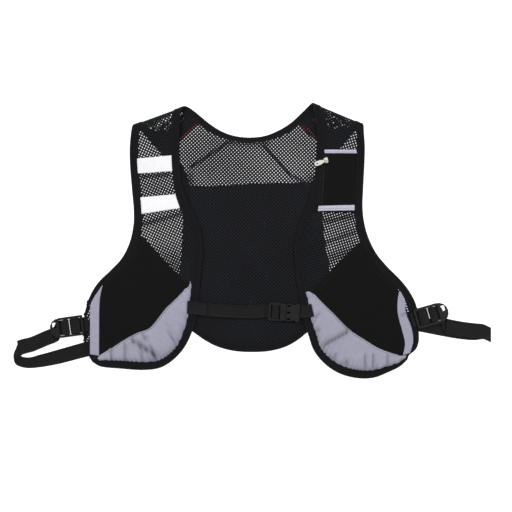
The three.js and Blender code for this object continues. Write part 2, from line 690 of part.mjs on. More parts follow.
// Webbing through sections given by their two edges, with w as a share of its width.
function webbing(rows, width, perRow = 2) {
  const point = (u, v, z) => {
    const { x, y } = plan(u, v);
    return new THREE.Vector3(x, y, z);
  };
  const through = (points) => new THREE.CatmullRomCurve3(points, false, 'centripetal');
  const lows = through(rows.map((r) => point(r.lowU, r.lowV, r.z)));
  const highs = through(rows.map((r) => point(r.highU, r.highV, r.z)));
  const count = (rows.length - 1) * perRow;
  const stations = Array.from({ length: count + 1 }, (_, i) => {
    const t = i / count;
    const row = Math.min(rows.length - 2, Math.floor(i / perRow));
    const step = i / perRow - row;
    const share = (rows[row].w ?? 1) * (1 - step) + (rows[row + 1].w ?? 1) * step;
    const [low, high] = [lows.getPoint(t), highs.getPoint(t)];
    const middle = low.clone().add(high).multiplyScalar(0.5);
    const across = high.clone().sub(low).setLength((width * share) / 2);
    const tangent = lows.getTangent(t).add(highs.getTangent(t));
    const up = across.clone().cross(tangent).setLength(WEBBING_THICKNESS / 2);
    const corners = [
      middle.clone().sub(across).sub(up),
      middle.clone().add(across).sub(up),
      middle.clone().add(across).add(up),
      middle.clone().sub(across).add(up),
    ];
    return corners.map((p) => p.setZ(Math.max(0, p.z)));
  });
  return loft(stations);
}

const constant = (value) => () => value;
const locatePlan = ({ u, v }) => {
  const { x, y } = plan(u, v);
  return { a: x, b: y };
};
const locateOn = (fold) => ({ u, v, face = FRONT }) => unroll(fold, plan(u, v), face);
const distance = (p, q) => Math.hypot(p.a - q.a, p.b - q.b);
const nearest = (line, point) => line.reduce(
  (best, p, i) => (distance(p, point) < distance(line[best], point) ? i : best),
  0,
);

const SIDES = ['left', 'right'];
const PER_ROW = 2;
const FOLD_STEPS = 3; // times as many stations where a binding turns over the shoulder
const LINE_STEPS = 4; // points between table rows on the lines that panels follow
const ARM_SIDE = -1; // the cloth lies to the right of the armhole's line of travel
const OPENING_SIDE = 1;
const SEAM_REACH = 12; // from the fold back to the shoulder patch
const OVER_MESH = MESH_THICKNESS / 2 + FACE_GAP;
const CORNER_ROW = { left: 15, right: 18 }; // opening row where the edge turns into the hem

// Lines of each front half on its unrolled cloth, from the back over the shoulder down.
function frontLines(side) {
  const fold = FOLDS[side];
  const locate = locateOn(fold);
  const opening = inset(spline(OPENING[side], locate, LINE_STEPS), OPENING_SIDE, SEAM_GAP);
  const arm = inset(spline(ARMHOLE[side], locate, LINE_STEPS), ARM_SIDE, SEAM_GAP);
  const raise = (p, rise) => lift(fold, p, rise);
  const onPlan = (p) => {
    const { x, y } = roll(fold, p.a, p.b);
    return { a: x, b: y };
  };
  const line = (rows) => spline(rows, locate, LINE_STEPS);
  return { locate, opening, arm, raise, onPlan, line };
}
const LINES = { left: frontLines('left'), right: frontLines('right') };

function bindings(side) {
  const { locate, raise } = LINES[side];
  const stations = (rows) => spline(rows, locate, PER_ROW * FOLD_STEPS).filter(
    (p, i) => i % FOLD_STEPS === 0 || Math.abs(p.b) < QUARTER_TURN * 1.3,
  );
  const opening = stations(OPENING[side]);
  const armhole = stations(ARMHOLE[side]);
  add(`opening_binding_${side}`, binding(opening, OPENING_SIDE, raise), COLOURS.binding);
  add(`armhole_binding_${side}`, binding(armhole, ARM_SIDE, raise), COLOURS.binding);
}

// The front's single layer of mesh, from the seam behind the shoulder down to the hem.
const SEAM = -(QUARTER_TURN + SEAM_REACH - FOLD_RADIUS);
const FOLD_ROWS = [0, 0.012, 0.024, 0.036, 0.048, 0.06, 0.078]; // rows close together on the fold
const ROW_SHARES = [...FOLD_ROWS, ...evenShares(20).slice(1).map((t) => 0.08 + 0.92 * t)];
function frontMesh(side) {
  const { opening, arm, raise, line } = LINES[side];
  const armStart = arm.findIndex((p) => p.b >= SEAM);
  const openingStart = opening.findIndex((p) => p.b >= SEAM / 2);
  const corner = CORNER_ROW[side] * LINE_STEPS;
  const armEdge = [...arm.slice(armStart), ...line(GUSSET[side])];
  const hem = opening.slice(corner).reverse();
  const bottom = [armEdge[armEdge.length - 1], ...hem];
  const top = [armEdge[0], opening[openingStart]];
  const grid = patch(armEdge, opening.slice(openingStart, corner + 1), top, bottom, ROW_SHARES, 9);
  const half = MESH_THICKNESS / 2;
  add(`front_mesh_${side}`, sheet(grid, raise, constant(-half), constant(half)), COLOURS.mesh);
}

// A face sewn on the mesh, crowned in its middle and rippled where it is gathered.
function face(name, side, grid, colour, crown = 0, gathers = 0) {
  const rows = grid.length - 1;
  const columns = grid[0].length - 1;
  const heights = new Map();
  grid.forEach((row, i) => row.forEach((p, j) => {
    const dome = Math.sin((Math.PI * i) / rows) * Math.sin((Math.PI * j) / columns);
    const ripple = (1 + Math.cos((2 * Math.PI * p.a) / GATHER_PITCH)) / 2;
    heights.set(p, OVER_MESH + crown * dome + gathers * ripple * dome);
  }));
  const under = (p) => heights.get(p);
  const over = (p) => heights.get(p) + FACE_THICKNESS;
  return add(name, sheet(grid, LINES[side].raise, under, over), colour);
}

const shifted = (line, amount) => inset(
  line.map((p) => ({ ...p, w: 0 })),
  Math.sign(amount),
  Math.abs(amount),
);

const TIP_SKIP = 2; // line points left out where the reflective panel would end in a point

// Pocket, reflective panel and stripe of one lower front.
function lowerFront(side) {
  const { opening, arm, line } = LINES[side];
  const mouth = line(POCKET_MOUTH[side]);
  const swept = line(SWEPT_SEAM[side]);
  const inner = line(STRIPE_INNER[side]);
  const outer = line(STRIPE_OUTER[side]);
  const armAtMouth = nearest(arm, mouth[0]);
  const armAtStripe = nearest(arm, inner[0]);
  const armEdge = arm.slice(armAtMouth, armAtStripe - 1);
  const openingAtMouth = nearest(opening, mouth[mouth.length - 1]);
  const top = [armEdge[0], ...mouth.slice(2, -2), opening[openingAtMouth]];
  const seamUp = shifted(swept, CLEARANCE);
  const seamDown = shifted(swept, -CLEARANCE);
  const sweptEdge = [opening[openingAtMouth], ...seamUp.slice(2)];
  const stripeEdge = [armEdge[armEdge.length - 1], ...shifted(inner, -CLEARANCE * 3)];
  stripeEdge[stripeEdge.length - 1] = sweptEdge[sweptEdge.length - 1];
  const pocket = patch(armEdge, sweptEdge, top, stripeEdge, 11, 9);
  face(`pocket_${side}`, side, pocket, COLOURS.pocket, POCKET_FULLNESS);

  const openingAtTip = nearest(opening, swept[0]) + TIP_SKIP;
  const openingAtEnd = nearest(opening, inner[inner.length - 1]);
  const hemEdge = opening.slice(openingAtTip, openingAtEnd + 1);
  const start = [seamDown[TIP_SKIP], hemEdge[0]];
  const end = [seamDown[seamDown.length - 1], hemEdge[hemEdge.length - 1]];
  const panel = patch(seamDown.slice(TIP_SKIP), hemEdge, start, end, 16, 5);
  face(`reflective_panel_${side}`, side, panel, COLOURS.reflective, 0.4, GATHER_HEIGHT);

  const tip = [inner[0], outer[0]];
  const foot = [inner[inner.length - 1], outer[outer.length - 1]];
  face(`side_stripe_${side}`, side, patch(inner, outer, tip, foot, 12, 1), COLOURS.reflective);
}

// The front index whose plan height is nearest to v.
function indexAtHeight(line, side, v) {
  const wanted = v * STRAP_TO_SHOULDER;
  const miss = (p) => (p.b < QUARTER_TURN ? Infinity : Math.abs(LINES[side].onPlan(p).b - wanted));
  return line.reduce((best, p, i) => (miss(p) < miss(line[best]) ? i : best), line.length - 1);
}

function whiteStrip({ name, upperArm, upperOpening, lowerArm, lowerOpening }) {
  const { opening, arm } = LINES.left;
  const cut = (line, upper, lower) => line.slice(
    indexAtHeight(line, 'left', upper),
    indexAtHeight(line, 'left', lower) + 1,
  );
  const armEdge = cut(arm, upperArm, lowerArm);
  const openingEdge = cut(opening, upperOpening, lowerOpening);
  const top = [armEdge[0], openingEdge[0]];
  const bottom = [armEdge[armEdge.length - 1], openingEdge[openingEdge.length - 1]];
  face(name, 'left', patch(armEdge, openingEdge, top, bottom, 3, 5), COLOURS.white);
}

const ends = (near, far) => [
  [near[0], far[0]],
  [near[near.length - 1], far[far.length - 1]],
];

function chestPocket() {
  const { line } = LINES.right;
  const zipSide = line(CHEST_POCKET.zipSide);
  const armSide = line(CHEST_POCKET.armSide);
  const [top, bottom] = ends(zipSide, armSide);
  const cloth = patch(zipSide, armSide, top, bottom, 8, 5);
  face('chest_pocket', 'right', cloth, COLOURS.chestPocket, POCKET_FULLNESS);
  const tapeNear = shifted(zipSide, -CLEARANCE);
  const tapeFar = shifted(zipSide, -CLEARANCE - ZIP_WIDTH);
  const tape = patch(tapeNear, tapeFar, ...ends(tapeNear, tapeFar), 8, 1);
  face('zip_tape', 'right', tape, COLOURS.zip);
  for (const { name, corners } of POCKET_STRIPS) {
    const [upperZip, upperArm, lowerArm, lowerZip] = corners.map(LINES.right.locate);
    const atZip = [upperZip, lowerZip];
    const atArm = [upperArm, lowerArm];
    const grid = patch(atZip, atArm, ...ends(atZip, atArm), 1, 6);
    face(name, 'right', grid, COLOURS.reflectiveStrip);
  }
}

// Shoulder patches, mesh and shell of the back, whose cloth lies level.
const BACK_LINES = {
  neck: inset(spline(NECK, locatePlan, LINE_STEPS), -1, SEAM_GAP),
  hem: inset(spline(BACK_HEM, locatePlan, LINE_STEPS), 1, SEAM_GAP).slice(1, -1),
};
for (const side of SIDES) {
  const { arm, opening, onPlan } = LINES[side];
  BACK_LINES[side] = {
    arm: arm.filter((p) => p.b < SEAM - CLEARANCE).reverse().map(onPlan),
    opening: opening.filter((p) => p.b < SEAM / 2 - 1).reverse().map(onPlan),
  };
}
const level = flatLift(constant(0));

function flatBinding(name, rows, side) {
  const raise = flatLift(constant(BACK_REST));
  add(name, binding(spline(rows, locatePlan, PER_ROW), side, raise), COLOURS.binding);
}

const PATCH_LOWER = {
  left: { armU: -0.516, armV: 0.766, neckU: -0.322, neckV: 0.902 },
  right: { armU: 0.472, armV: 0.77, neckU: 0.291, neckV: 0.9 },
};
function patchEnds(side) {
  const { armU, armV, neckU, neckV } = PATCH_LOWER[side];
  return {
    armIndex: nearest(BACK_LINES[side].arm, locatePlan({ u: armU, v: armV })),
    neckIndex: nearest(BACK_LINES.neck, locatePlan({ u: neckU, v: neckV })),
  };
}

function shoulderPatch(side) {
  const { arm, opening } = BACK_LINES[side];
  const { armIndex, neckIndex } = patchEnds(side);
  const { neck } = BACK_LINES;
  const neckPart = side === 'left' ? neck.slice(0, neckIndex + 1) : neck.slice(neckIndex).reverse();
  const armEdge = arm.slice(0, armIndex + 1);
  const neckEdge = [...opening.slice(0, -2), ...neckPart.slice(1)];
  const grid = patch(armEdge, neckEdge, ...ends(armEdge, neckEdge), 6, 5);
  const half = MESH_THICKNESS / 2;
  const cloth = sheet(grid, level, constant(BACK_REST - half), constant(BACK_REST + half));
  add(`shoulder_patch_${side}`, cloth, COLOURS.shell);

  // Two short red tapes lie on the patch beside the neck, level with its lower edge.
  const [from, to] = [neckEdge[neckEdge.length - 1], armEdge[armEdge.length - 1]];
  const length = distance(from, to);
  const along = { a: (to.a - from.a) / length, b: (to.b - from.b) / length };
  const up = side === 'left' ? { a: along.b, b: -along.a } : { a: -along.b, b: along.a };
  const tapeAt = (reach, rise) => ({
    a: from.a + along.a * reach + up.a * rise,
    b: from.b + along.b * reach + up.b * rise,
  });
  const bottom = BACK_REST + half + FACE_GAP;
  [1, TAPE_SPACING].forEach((rise, i) => {
    const start = 3 + i * TAPE_INSET;
    const near = [tapeAt(start, rise), tapeAt(start, rise + TAPE_WIDTH)];
    const far = [tapeAt(TAPE_LENGTH, rise), tapeAt(TAPE_LENGTH, rise + TAPE_WIDTH)];
    const tape = patch(near, far, ...ends(near, far), 1, 3);
    const name = `red_tape_${side}_${i === 0 ? 'lower' : 'upper'}`;
    add(name, sheet(tape, level, constant(bottom), constant(bottom + FACE_THICKNESS)), COLOURS.redTape);
  });
}

function creaseHeight({ a, b }) {
  return CREASES.reduce((sum, { fromU, fromV, toU, toV, height, width }) => {
    const from = locatePlan({ u: fromU, v: fromV });
    const to = locatePlan({ u: toU, v: toV });
    const length = distance(from, to);
    const along = ((a - from.a) * (to.a - from.a) + (b - from.b) * (to.b - from.b)) / length;
    const off = ((a - from.a) * (to.b - from.b) - (b - from.b) * (to.a - from.a)) / length;
    const fade = ease(along / width) * ease((length - along) / width);
    return sum + height * fade * Math.exp(-((off / width) ** 2));
  }, 0);
}

function backPanel() {
  const { neck, hem } = BACK_LINES;
  const cuts = { left: patchEnds('left'), right: patchEnds('right') };
  const hemEnd = { left: hem[0], right: hem[hem.length - 1] };
  const side = (name, from) => [...BACK_LINES[name].arm.slice(from), hemEnd[name]];
  const down = CLEARANCE * 2;
  const lower = (p) => ({ a: p.a, b: p.b - down });
  const leftEdge = side('left', cuts.left.armIndex).map((p, i) => (i === 0 ? lower(p) : p));
  const rightEdge = side('right', cuts.right.armIndex).map((p, i) => (i === 0 ? lower(p) : p));
  const underNeck = neck.slice(cuts.left.neckIndex, cuts.right.neckIndex + 1).map(lower);
  const top = [leftEdge[0], ...underNeck, rightEdge[0]];
  const grid = patch(leftEdge, rightEdge, top, hem, 16, 14);
  const half = MESH_THICKNESS / 2;
  const under = (p) => BACK_MESH_REST - half + creaseHeight(p);
  const over = (p) => BACK_MESH_REST + half + creaseHeight(p);
  add('back_mesh', sheet(grid, level, under, over), COLOURS.mesh);

  const { leftU, leftV, middleV, rightU, rightV } = SHELL_TOP;
  const topRows = [{ u: leftU, v: leftV }, { u: 0, v: middleV }, { u: rightU, v: rightV }];
  const shellTop = spline(topRows, locatePlan, LINE_STEPS);
  const shellSide = (name, corner) => side(name, nearest(BACK_LINES[name].arm, corner));
  const shellLeft = shellSide('left', shellTop[0]);
  const shellRight = shellSide('right', shellTop[shellTop.length - 1]);
  const shellEdge = [shellLeft[0], ...shellTop.slice(2, -2), shellRight[0]];
  const shell = patch(shellLeft, shellRight, shellEdge, hem, 9, 9);
  add('back_shell', sheet(shell, level, constant(0), constant(SHELL_THICKNESS)), COLOURS.shell);
}

// Rigid parts: flat plates of their real outline with raised edges, joined as solids.
function plate(outline, bottom, thickness) {
  const points = outline.map(([x, y]) => new THREE.Vector2(x, y));
  const ring = THREE.ShapeUtils.isClockWise(points) ? points.reverse() : points;
  const count = ring.length;
  const layer = (z) => ring.map((p) => new THREE.Vector3(p.x, p.y, z));
  const vertices = [bottom, bottom + thickness].flatMap(layer);
  const faces = THREE.ShapeUtils.triangulateShape(ring, []).flatMap(
    ([i, j, k]) => [[i, k, j], [i + count, j + count, k + count]],
  );
  ring.forEach((_, i) => {
    const next = (i + 1) % count;
    faces.push([i, next, next + count], [i, next + count, i + count]);
  });
  return solid(vertices, faces);
}

const manifoldOf = (geometry) => new wasm.Manifold(new wasm.Mesh({
  numProp: 3,
  vertProperties: geometry.attributes.position.array,
  triVerts: new Uint32Array(geometry.index.array),
}));

function geometryOf(manifold) {
  const { vertProperties, triVerts } = manifold.getMesh();
  const geometry = new THREE.BufferGeometry();
  geometry.setAttribute('position', new THREE.BufferAttribute(vertProperties, 3));
  geometry.setIndex(new THREE.BufferAttribute(triVerts, 1));
  return geometry;
}

const CUT_REACH = 30; // beyond every plate's faces
const rectangle = (x0, x1, y0, y1) => [[x0, y0], [x1, y0], [x1, y1], [x0, y1]];

// Rectangle with cut corners, for worn-in moulded edges and slots.
function chamfered(x0, x1, y0, y1, cut) {
  return [
    [x0 + cut, y0], [x1 - cut, y0], [x1, y0 + cut], [x1, y1 - cut],
    [x1 - cut, y1], [x0 + cut, y1], [x0, y1 - cut], [x0, y0 + cut],
  ];
}

// The pieces joined, with every hole cut right through in Z.
function join(pieces, holes = []) {
  const body = pieces.map(manifoldOf).reduce((sum, piece) => sum.add(piece));
  const cutters = holes.map((hole) => manifoldOf(plate(hole, -CUT_REACH, 2 * CUT_REACH)));
  return geometryOf(cutters.reduce((sum, cutter) => sum.subtract(cutter), body));
}

function settle(mesh, { x, y }, heading) {
  mesh.position.set(x, y, 0);
  mesh.rotation.z = THREE.MathUtils.degToRad(heading);
}

function ladderLock(side) {
  const { rimU, rimV, heading, holeSide } = LOCKS[side];
  const { rimSlot, midSlot, tabSlot, tabHole, railEnd, tabStart } = LOCK_CUTS;
  const half = LOCK_WIDTH / 2;
  const clear = half - LOCK_RAIL_WIDTH;
  const tab = Array.from({ length: 9 }, (_, i) => {
    const angle = -Math.PI / 2 + (Math.PI * i) / 8;
    const reach = LOCK_LENGTH * (tabStart + (1 - tabStart) * Math.cos(angle) ** 0.7);
    return [i === 0 || i === 8 ? LOCK_LENGTH * tabStart : reach, half * Math.sin(angle)];
  });
  const corner = LOCK_RAIL_WIDTH / 2;
  const outline = [[corner, -half], ...tab, [corner, half], [0, half - corner], [0, corner - half]];
  const slot = ({ from, to }) => chamfered(LOCK_LENGTH * from, LOCK_LENGTH * to, -clear, clear, 0.6);
  const hole = chamfered(
    LOCK_LENGTH * tabHole.from,
    LOCK_LENGTH * tabHole.to,
    LOCK_WIDTH * (holeSide > 0 ? tabHole.low : -tabHole.high),
    LOCK_WIDTH * (holeSide > 0 ? tabHole.high : -tabHole.low),
    1.5,
  );
  const holes = [slot(rimSlot), slot(midSlot), slot(tabSlot), hole];
  const base = plate(outline, LOCK_REST, LOCK_BAR_THICKNESS);
  const rails = [-1, 1].map((s) => plate(
    rectangle(corner, LOCK_LENGTH * railEnd, s * half, s * clear),
    LOCK_REST,
    LOCK_RAIL_HEIGHT,
  ));
  const rim = plate(
    chamfered(0, LOCK_LENGTH * rimSlot.from, -half, half, corner / 2),
    LOCK_REST,
    LOCK_RAIL_HEIGHT * 0.8,
  );
  const lock = join([base, rim, ...rails], holes);
  const mesh = add(`ladder_lock_${side}`, lock, COLOURS.plastic, FINISH.plastic);
  settle(mesh, plan(rimU, rimV), heading);
}

// Sections of webbing in a lock's or buckle's own frame, turned into table rows.
function rowsOn({ x, y }, heading, stations) {
  const angle = THREE.MathUtils.degToRad(heading);
  const point = (along, across) => ({
    u: (x + along * Math.cos(angle) - across * Math.sin(angle)) / HALF_WIDTH,
    v: (y + along * Math.sin(angle) + across * Math.cos(angle)) / STRAP_TO_SHOULDER,
  });
  return stations.map(({ along, z }) => {
    const low = point(along, -1);
    const high = point(along, 1);
    return { lowU: low.u, lowV: low.v, highU: high.u, highV: high.v, z };
  });
}

// Under a slot's first edge, up through it, over the bar and down into the next slot.
function overBar(edge, from, to, rest, thickness) {
  const travel = Math.sign(to - from);
  const top = rest + thickness + CLEARANCE + WEBBING_THICKNESS / 2;
  const bend = WEBBING_THICKNESS * 0.9;
  return [
    { along: edge - travel * bend, z: rest - WEBBING_THICKNESS * 0.8 },
    { along: edge + travel * bend * 0.7, z: rest - WEBBING_THICKNESS * 0.65 },
    { along: from, z: rest + thickness * 0.75 },
    { along: from + travel * bend, z: top },
    { along: to - travel * bend, z: top },
    { along: to, z: rest + thickness * 0.75 },
    { along: to + travel * 0.1, z: rest + thickness * 0.1 },
  ];
}

function sideWebbing(side) {
  const { rimU, rimV, heading, seam } = LOCKS[side];
  const place = plan(rimU, rimV);
  const { rimSlot, midSlot, tabSlot } = LOCK_CUTS;
  const at = (share) => share * LOCK_LENGTH;
  const middle = ({ from, to }) => at((from + to) / 2);
  const strapDown = at(midSlot.to) - WEBBING_THICKNESS;
  const tabDown = at(midSlot.from) + WEBBING_THICKNESS;
  const over = overBar(at(tabSlot.to), middle(tabSlot), strapDown, LOCK_REST, LOCK_BAR_THICKNESS);
  const table = side === 'left' ? SIDE_STRAP_LEFT : SIDE_STRAP_RIGHT;
  const tail = side === 'left' ? SIDE_TAIL_LEFT : SIDE_TAIL_RIGHT;
  const strap = [...table, ...rowsOn(place, heading, over)];
  add(`side_strap_${side}`, webbing(strap, SIDE_WEBBING_WIDTH), COLOURS.webbing);
  add(`side_strap_tail_${side}`, webbing(tail, SIDE_WEBBING_WIDTH), COLOURS.webbing);

  const through = overBar(at(rimSlot.from), middle(rimSlot), tabDown, LOCK_REST, LOCK_BAR_THICKNESS);
  const tab = rowsOn(place, heading, [{ along: seam, z: TAB_HEIGHT }, ...through]);
  add(`side_tab_${side}`, webbing(tab, SIDE_WEBBING_WIDTH), COLOURS.webbing);
}

const BUCKLE_TURN = THREE.MathUtils.degToRad(BUCKLE.heading);
const BUCKLE_END = plan(BUCKLE.endU, BUCKLE.endV);
const BUCKLE_PLACE = {
  x: BUCKLE_END.x - BUCKLE_LENGTH * Math.cos(BUCKLE_TURN),
  y: BUCKLE_END.y - BUCKLE_LENGTH * Math.sin(BUCKLE_TURN),
};

function chestWebbing() {
  const { slot, backSlot } = BUCKLE_CUTS;
  const middle = ({ from, to }) => (BUCKLE_LENGTH * (from + to)) / 2;
  const edge = BUCKLE_LENGTH * slot.from;
  const over = overBar(edge, middle(slot), middle(backSlot), BUCKLE_REST, BUCKLE_BAR_THICKNESS);
  const onBuckle = (stations) => rowsOn(BUCKLE_PLACE, BUCKLE.heading, stations);
  const before = { along: -2 * WEBBING_THICKNESS, z: STRAP_AT_BUCKLE };
  const strap = [...CHEST_STRAP_LEFT, ...onBuckle([before, ...over])];
  add('chest_strap_left', webbing(strap, CHEST_WEBBING_WIDTH), COLOURS.webbing);
  const rise = WEBBING_THICKNESS + CLEARANCE;
  const lastRow = onBuckle([{ ...before, along: 2 * before.along }]);
  const lying = [...CHEST_STRAP_LEFT.slice(CHEST_TAIL_START), ...lastRow];
  const tail = lying.map((row) => ({ ...row, z: row.z + rise }));
  add('chest_strap_tail', webbing(tail, CHEST_WEBBING_WIDTH), COLOURS.webbing);
  add('chest_strap_right', webbing(CHEST_STRAP_RIGHT, CHEST_WEBBING_WIDTH), COLOURS.webbing);
}

// Side-release buckle, closed: the prong half on the long strap and the socket.
function buckle() {
  const cuts = BUCKLE_CUTS;
  const half = BUCKLE_WIDTH / 2;
  const at = (share) => share * BUCKLE_LENGTH;
  const across = (share) => share * BUCKLE_WIDTH;
  const slotHalf = across(cuts.slotHalf);
  const slot = ({ from, to }) => rectangle(at(from), at(to), -slotHalf, slotHalf);
  const frame = plate(
    chamfered(0, at(cuts.frameEnd), -half, half, 1.2),
    BUCKLE_REST,
    BUCKLE_BAR_THICKNESS,
  );
  const lobes = [-1, 1].map((s) => {
    const [x0, x1] = [at(cuts.lobeStart), at(cuts.lobeEnd)];
    const centre = s * (half - across(cuts.lobeHalf));
    const radius = across(cuts.lobeHalf) - 0.6;
    const arc = Array.from({ length: 10 }, (_, i) => {
      const angle = (2 * Math.PI * i) / 10;
      return [(x0 + x1) / 2 + ((x1 - x0) / 2) * Math.cos(angle), centre + radius * Math.sin(angle)];
    });
    return plate(arc, BUCKLE_REST - 0.4, BUCKLE_THICKNESS);
  });
  const bar = (outline) => plate(outline, BUCKLE_REST, BUCKLE_BAR_THICKNESS);
  const lobeEnd = at(cuts.lobeEnd);
  const prong = bar(rectangle(at(cuts.frameEnd) - 1, lobeEnd, -2, 2));
  const tie = bar(rectangle(lobeEnd - 3, lobeEnd, 1 - half, half - 1));
  const prongHalf = join([frame, prong, tie, ...lobes], [slot(cuts.slot), slot(cuts.backSlot)]);
  const male = add('buckle_prongs', prongHalf, COLOURS.plastic, FINISH.plastic);
  settle(male, BUCKLE_PLACE, BUCKLE.heading);

  const start = at(cuts.lobeEnd) + CLEARANCE;
  const waist = across(cuts.waistHalf);
  const outline = [
    [start, -half + 0.8], [at(cuts.windowEnd), -half + 0.8], [at(cuts.waist), -waist],
    [at(cuts.flare), -half], [at(1), -half], [at(1), half], [at(cuts.flare), half],
    [at(cuts.waist), waist], [at(cuts.windowEnd), half - 0.8], [start, half - 0.8],
  ];
  const windows = [-1, 0, 1].map((s) => {
    const y = s * across(cuts.windowOffset);
    const h = across(cuts.windowHalf);
    return rectangle(start + 1.2, at(cuts.windowEnd), y - h, y + h);
  });
  const socket = plate(outline, BUCKLE_REST - 0.4, BUCKLE_THICKNESS);
  const female = add('buckle_socket', join([socket], windows), COLOURS.plastic, FINISH.plastic);
  settle(female, BUCKLE_PLACE, BUCKLE.heading);
}

// Zip slider at the top of the chest pocket's zip, with its pull lying to the left. The
// pull turns on the end of its eye, which lies under the slider's bridge.
const SLIDER = { u: 0.459, v: 0.722, heading: 20, rise: 0.9 };
function zipSlider() {
  const { raise, locate } = LINES.right;
  const seat = raise(locate(SLIDER), OVER_MESH + FACE_THICKNESS + SLIDER.rise);
  const [l, w] = [SLIDER_LENGTH / 2, SLIDER_WIDTH / 2];
  const shoulders = [[-w * 0.7, -l], [w * 0.7, -l], [w, 0], [w, l], [-w, l], [-w, 0]];
  const body = plate(shoulders, 0, SLIDER_THICKNESS);
  const reach = BRIDGE_SPAN / 2;
  const half = BRIDGE_THICKNESS / 2;
  const top = SLIDER_THICKNESS + BRIDGE_RISE + BRIDGE_THICKNESS;
  const bridge = plate(rectangle(-reach, reach, -half, half), top - BRIDGE_THICKNESS, BRIDGE_THICKNESS);
  const posts = [-reach, reach - POST_WIDTH].map(
    (x) => plate(rectangle(x, x + POST_WIDTH, -half, half), SLIDER_THICKNESS / 2, top - SLIDER_THICKNESS / 2),
  );
  const joined = join([body, bridge, ...posts]);
  const slider = add('zip_slider', joined, COLOURS.metal, FINISH.metal, FINISH.metalness);
  settle(slider, seat, SLIDER.heading);
  slider.position.z = seat.z;

  const { from, to, half: eye } = PULL_EYE;
  const neck = eye + 1.1;
  const wide = PULL_WIDTH / 2;
  const at = (share) => PULL_LENGTH * share;
  const outline = [
    [-from, -neck], [at(0.28), -neck], [at(0.45), -wide], [at(0.86), -wide], [at(0.95), -wide * 0.65],
    [at(0.95), wide * 0.65], [at(0.86), wide], [at(0.45), wide], [at(0.28), neck], [-from, neck],
  ];
  const tipHole = Array.from({ length: 8 }, (_, i) => {
    const angle = (Math.PI * i) / 4;
    return [at(0.76) + 1.3 * Math.cos(angle), 1.3 * Math.sin(angle)];
  });
  const blank = plate(outline, -PULL_THICKNESS / 2, PULL_THICKNESS);
  const tongue = join([blank], [rectangle(from, to, -eye, eye), tipHole]);
  tongue.rotateY(THREE.MathUtils.degToRad(PULL_REST_ANGLE));
  const pull = add('zip_pull', tongue, COLOURS.metal, FINISH.metal, FINISH.metalness);
  settle(pull, seat, SLIDER.heading + 180);
  pull.position.z = seat.z + SLIDER_THICKNESS + PULL_AXIS;
}

SIDES.forEach(bindings);
flatBinding('neck_binding', NECK, -1);
flatBinding('back_hem_binding', BACK_HEM, 1);
backPanel();
SIDES.forEach(shoulderPatch);
SIDES.forEach(frontMesh);
SIDES.forEach(lowerFront);
WHITE_STRIPS.forEach(whiteStrip);
chestPocket();
zipSlider();
chestWebbing();
buckle();
SIDES.forEach(sideWebbing);
SIDES.forEach(ladderLock);

// The origin lies on the ground under the middle of the whole vest.
object.updateMatrixWorld(true);
const bounds = new THREE.Box3().setFromObject(object, true);
const middle = bounds.getCenter(new THREE.Vector3()).setZ(bounds.min.z);
object.children.forEach((mesh) => mesh.position.sub(middle));

export default object;
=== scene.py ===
# Running hydration vest with mesh back and fronts, laid flat on its back on a pale floor,
# its chest strap fastened. Sizes are in millimetres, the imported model's frame in metres.
import math

import bpy
import numpy as np
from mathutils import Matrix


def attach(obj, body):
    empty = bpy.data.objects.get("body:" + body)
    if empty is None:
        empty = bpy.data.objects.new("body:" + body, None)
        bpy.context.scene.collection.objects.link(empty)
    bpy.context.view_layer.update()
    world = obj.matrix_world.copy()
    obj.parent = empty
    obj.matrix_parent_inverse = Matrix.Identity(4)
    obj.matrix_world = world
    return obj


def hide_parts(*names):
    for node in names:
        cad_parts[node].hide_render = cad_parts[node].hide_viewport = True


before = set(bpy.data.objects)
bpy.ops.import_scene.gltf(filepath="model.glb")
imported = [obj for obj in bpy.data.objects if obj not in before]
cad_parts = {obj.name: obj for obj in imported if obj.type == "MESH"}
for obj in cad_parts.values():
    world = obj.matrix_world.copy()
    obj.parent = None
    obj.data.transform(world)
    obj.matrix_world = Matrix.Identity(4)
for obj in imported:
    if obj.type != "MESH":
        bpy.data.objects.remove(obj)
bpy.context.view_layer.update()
bpy.ops.object.select_all(action="DESELECT")
MM = 0.001


# ---- Camera, floor and light ---------------------------------------------------------
# The vest is photographed from straight above on a white sweep, in one large soft light
# that leaves hardly any shadow.
VIEW_CENTRE = (5.7, -23.5)
VIEW_WIDTH = 793.6
CAMERA_HEIGHT = 1800

bpy.ops.object.camera_add(location=(VIEW_CENTRE[0] * MM, VIEW_CENTRE[1] * MM, CAMERA_HEIGHT * MM))
camera = bpy.context.object
camera.data.angle = 2 * math.atan(VIEW_WIDTH / 2 / CAMERA_HEIGHT)
bpy.context.scene.camera = camera


def linear(hex_colour):
    """The linear RGBA of an sRGB hex value."""
    parts = [int(hex_colour[i : i + 2], 16) / 255 for i in (1, 3, 5)]
    return (*(c / 12.92 if c <= 0.04045 else ((c + 0.055) / 1.055) ** 2.4 for c in parts), 1)


def add_node(tree, kind, settings=None, inputs=None):
    """A node with its settings, and with its inputs set to values or linked to sockets."""
    node = tree.nodes.new(kind)
    for key, value in (settings or {}).items():
        setattr(node, key, value)
    for key, value in (inputs or {}).items():
        if isinstance(value, bpy.types.NodeSocket):
            tree.links.new(value, node.inputs[key])
        else:
            node.inputs[key].default_value = value
    return node


def new_material(name, roughness, gloss=0.12, **fixed):
    """A named material with its shader's fixed inputs set; returns both. The loose fibres of
    cloth scatter most of what a smooth surface would mirror, so gloss is low unless given."""
    material = bpy.data.materials.new(name)
    material.use_nodes = True
    shader = material.node_tree.nodes["Principled BSDF"]
    shader.inputs["Roughness"].default_value = roughness
    shader.inputs["Specular IOR Level"].default_value = gloss
    for key, value in fixed.items():
        shader.inputs[key.replace("_", " ")].default_value = value
    return material, shader


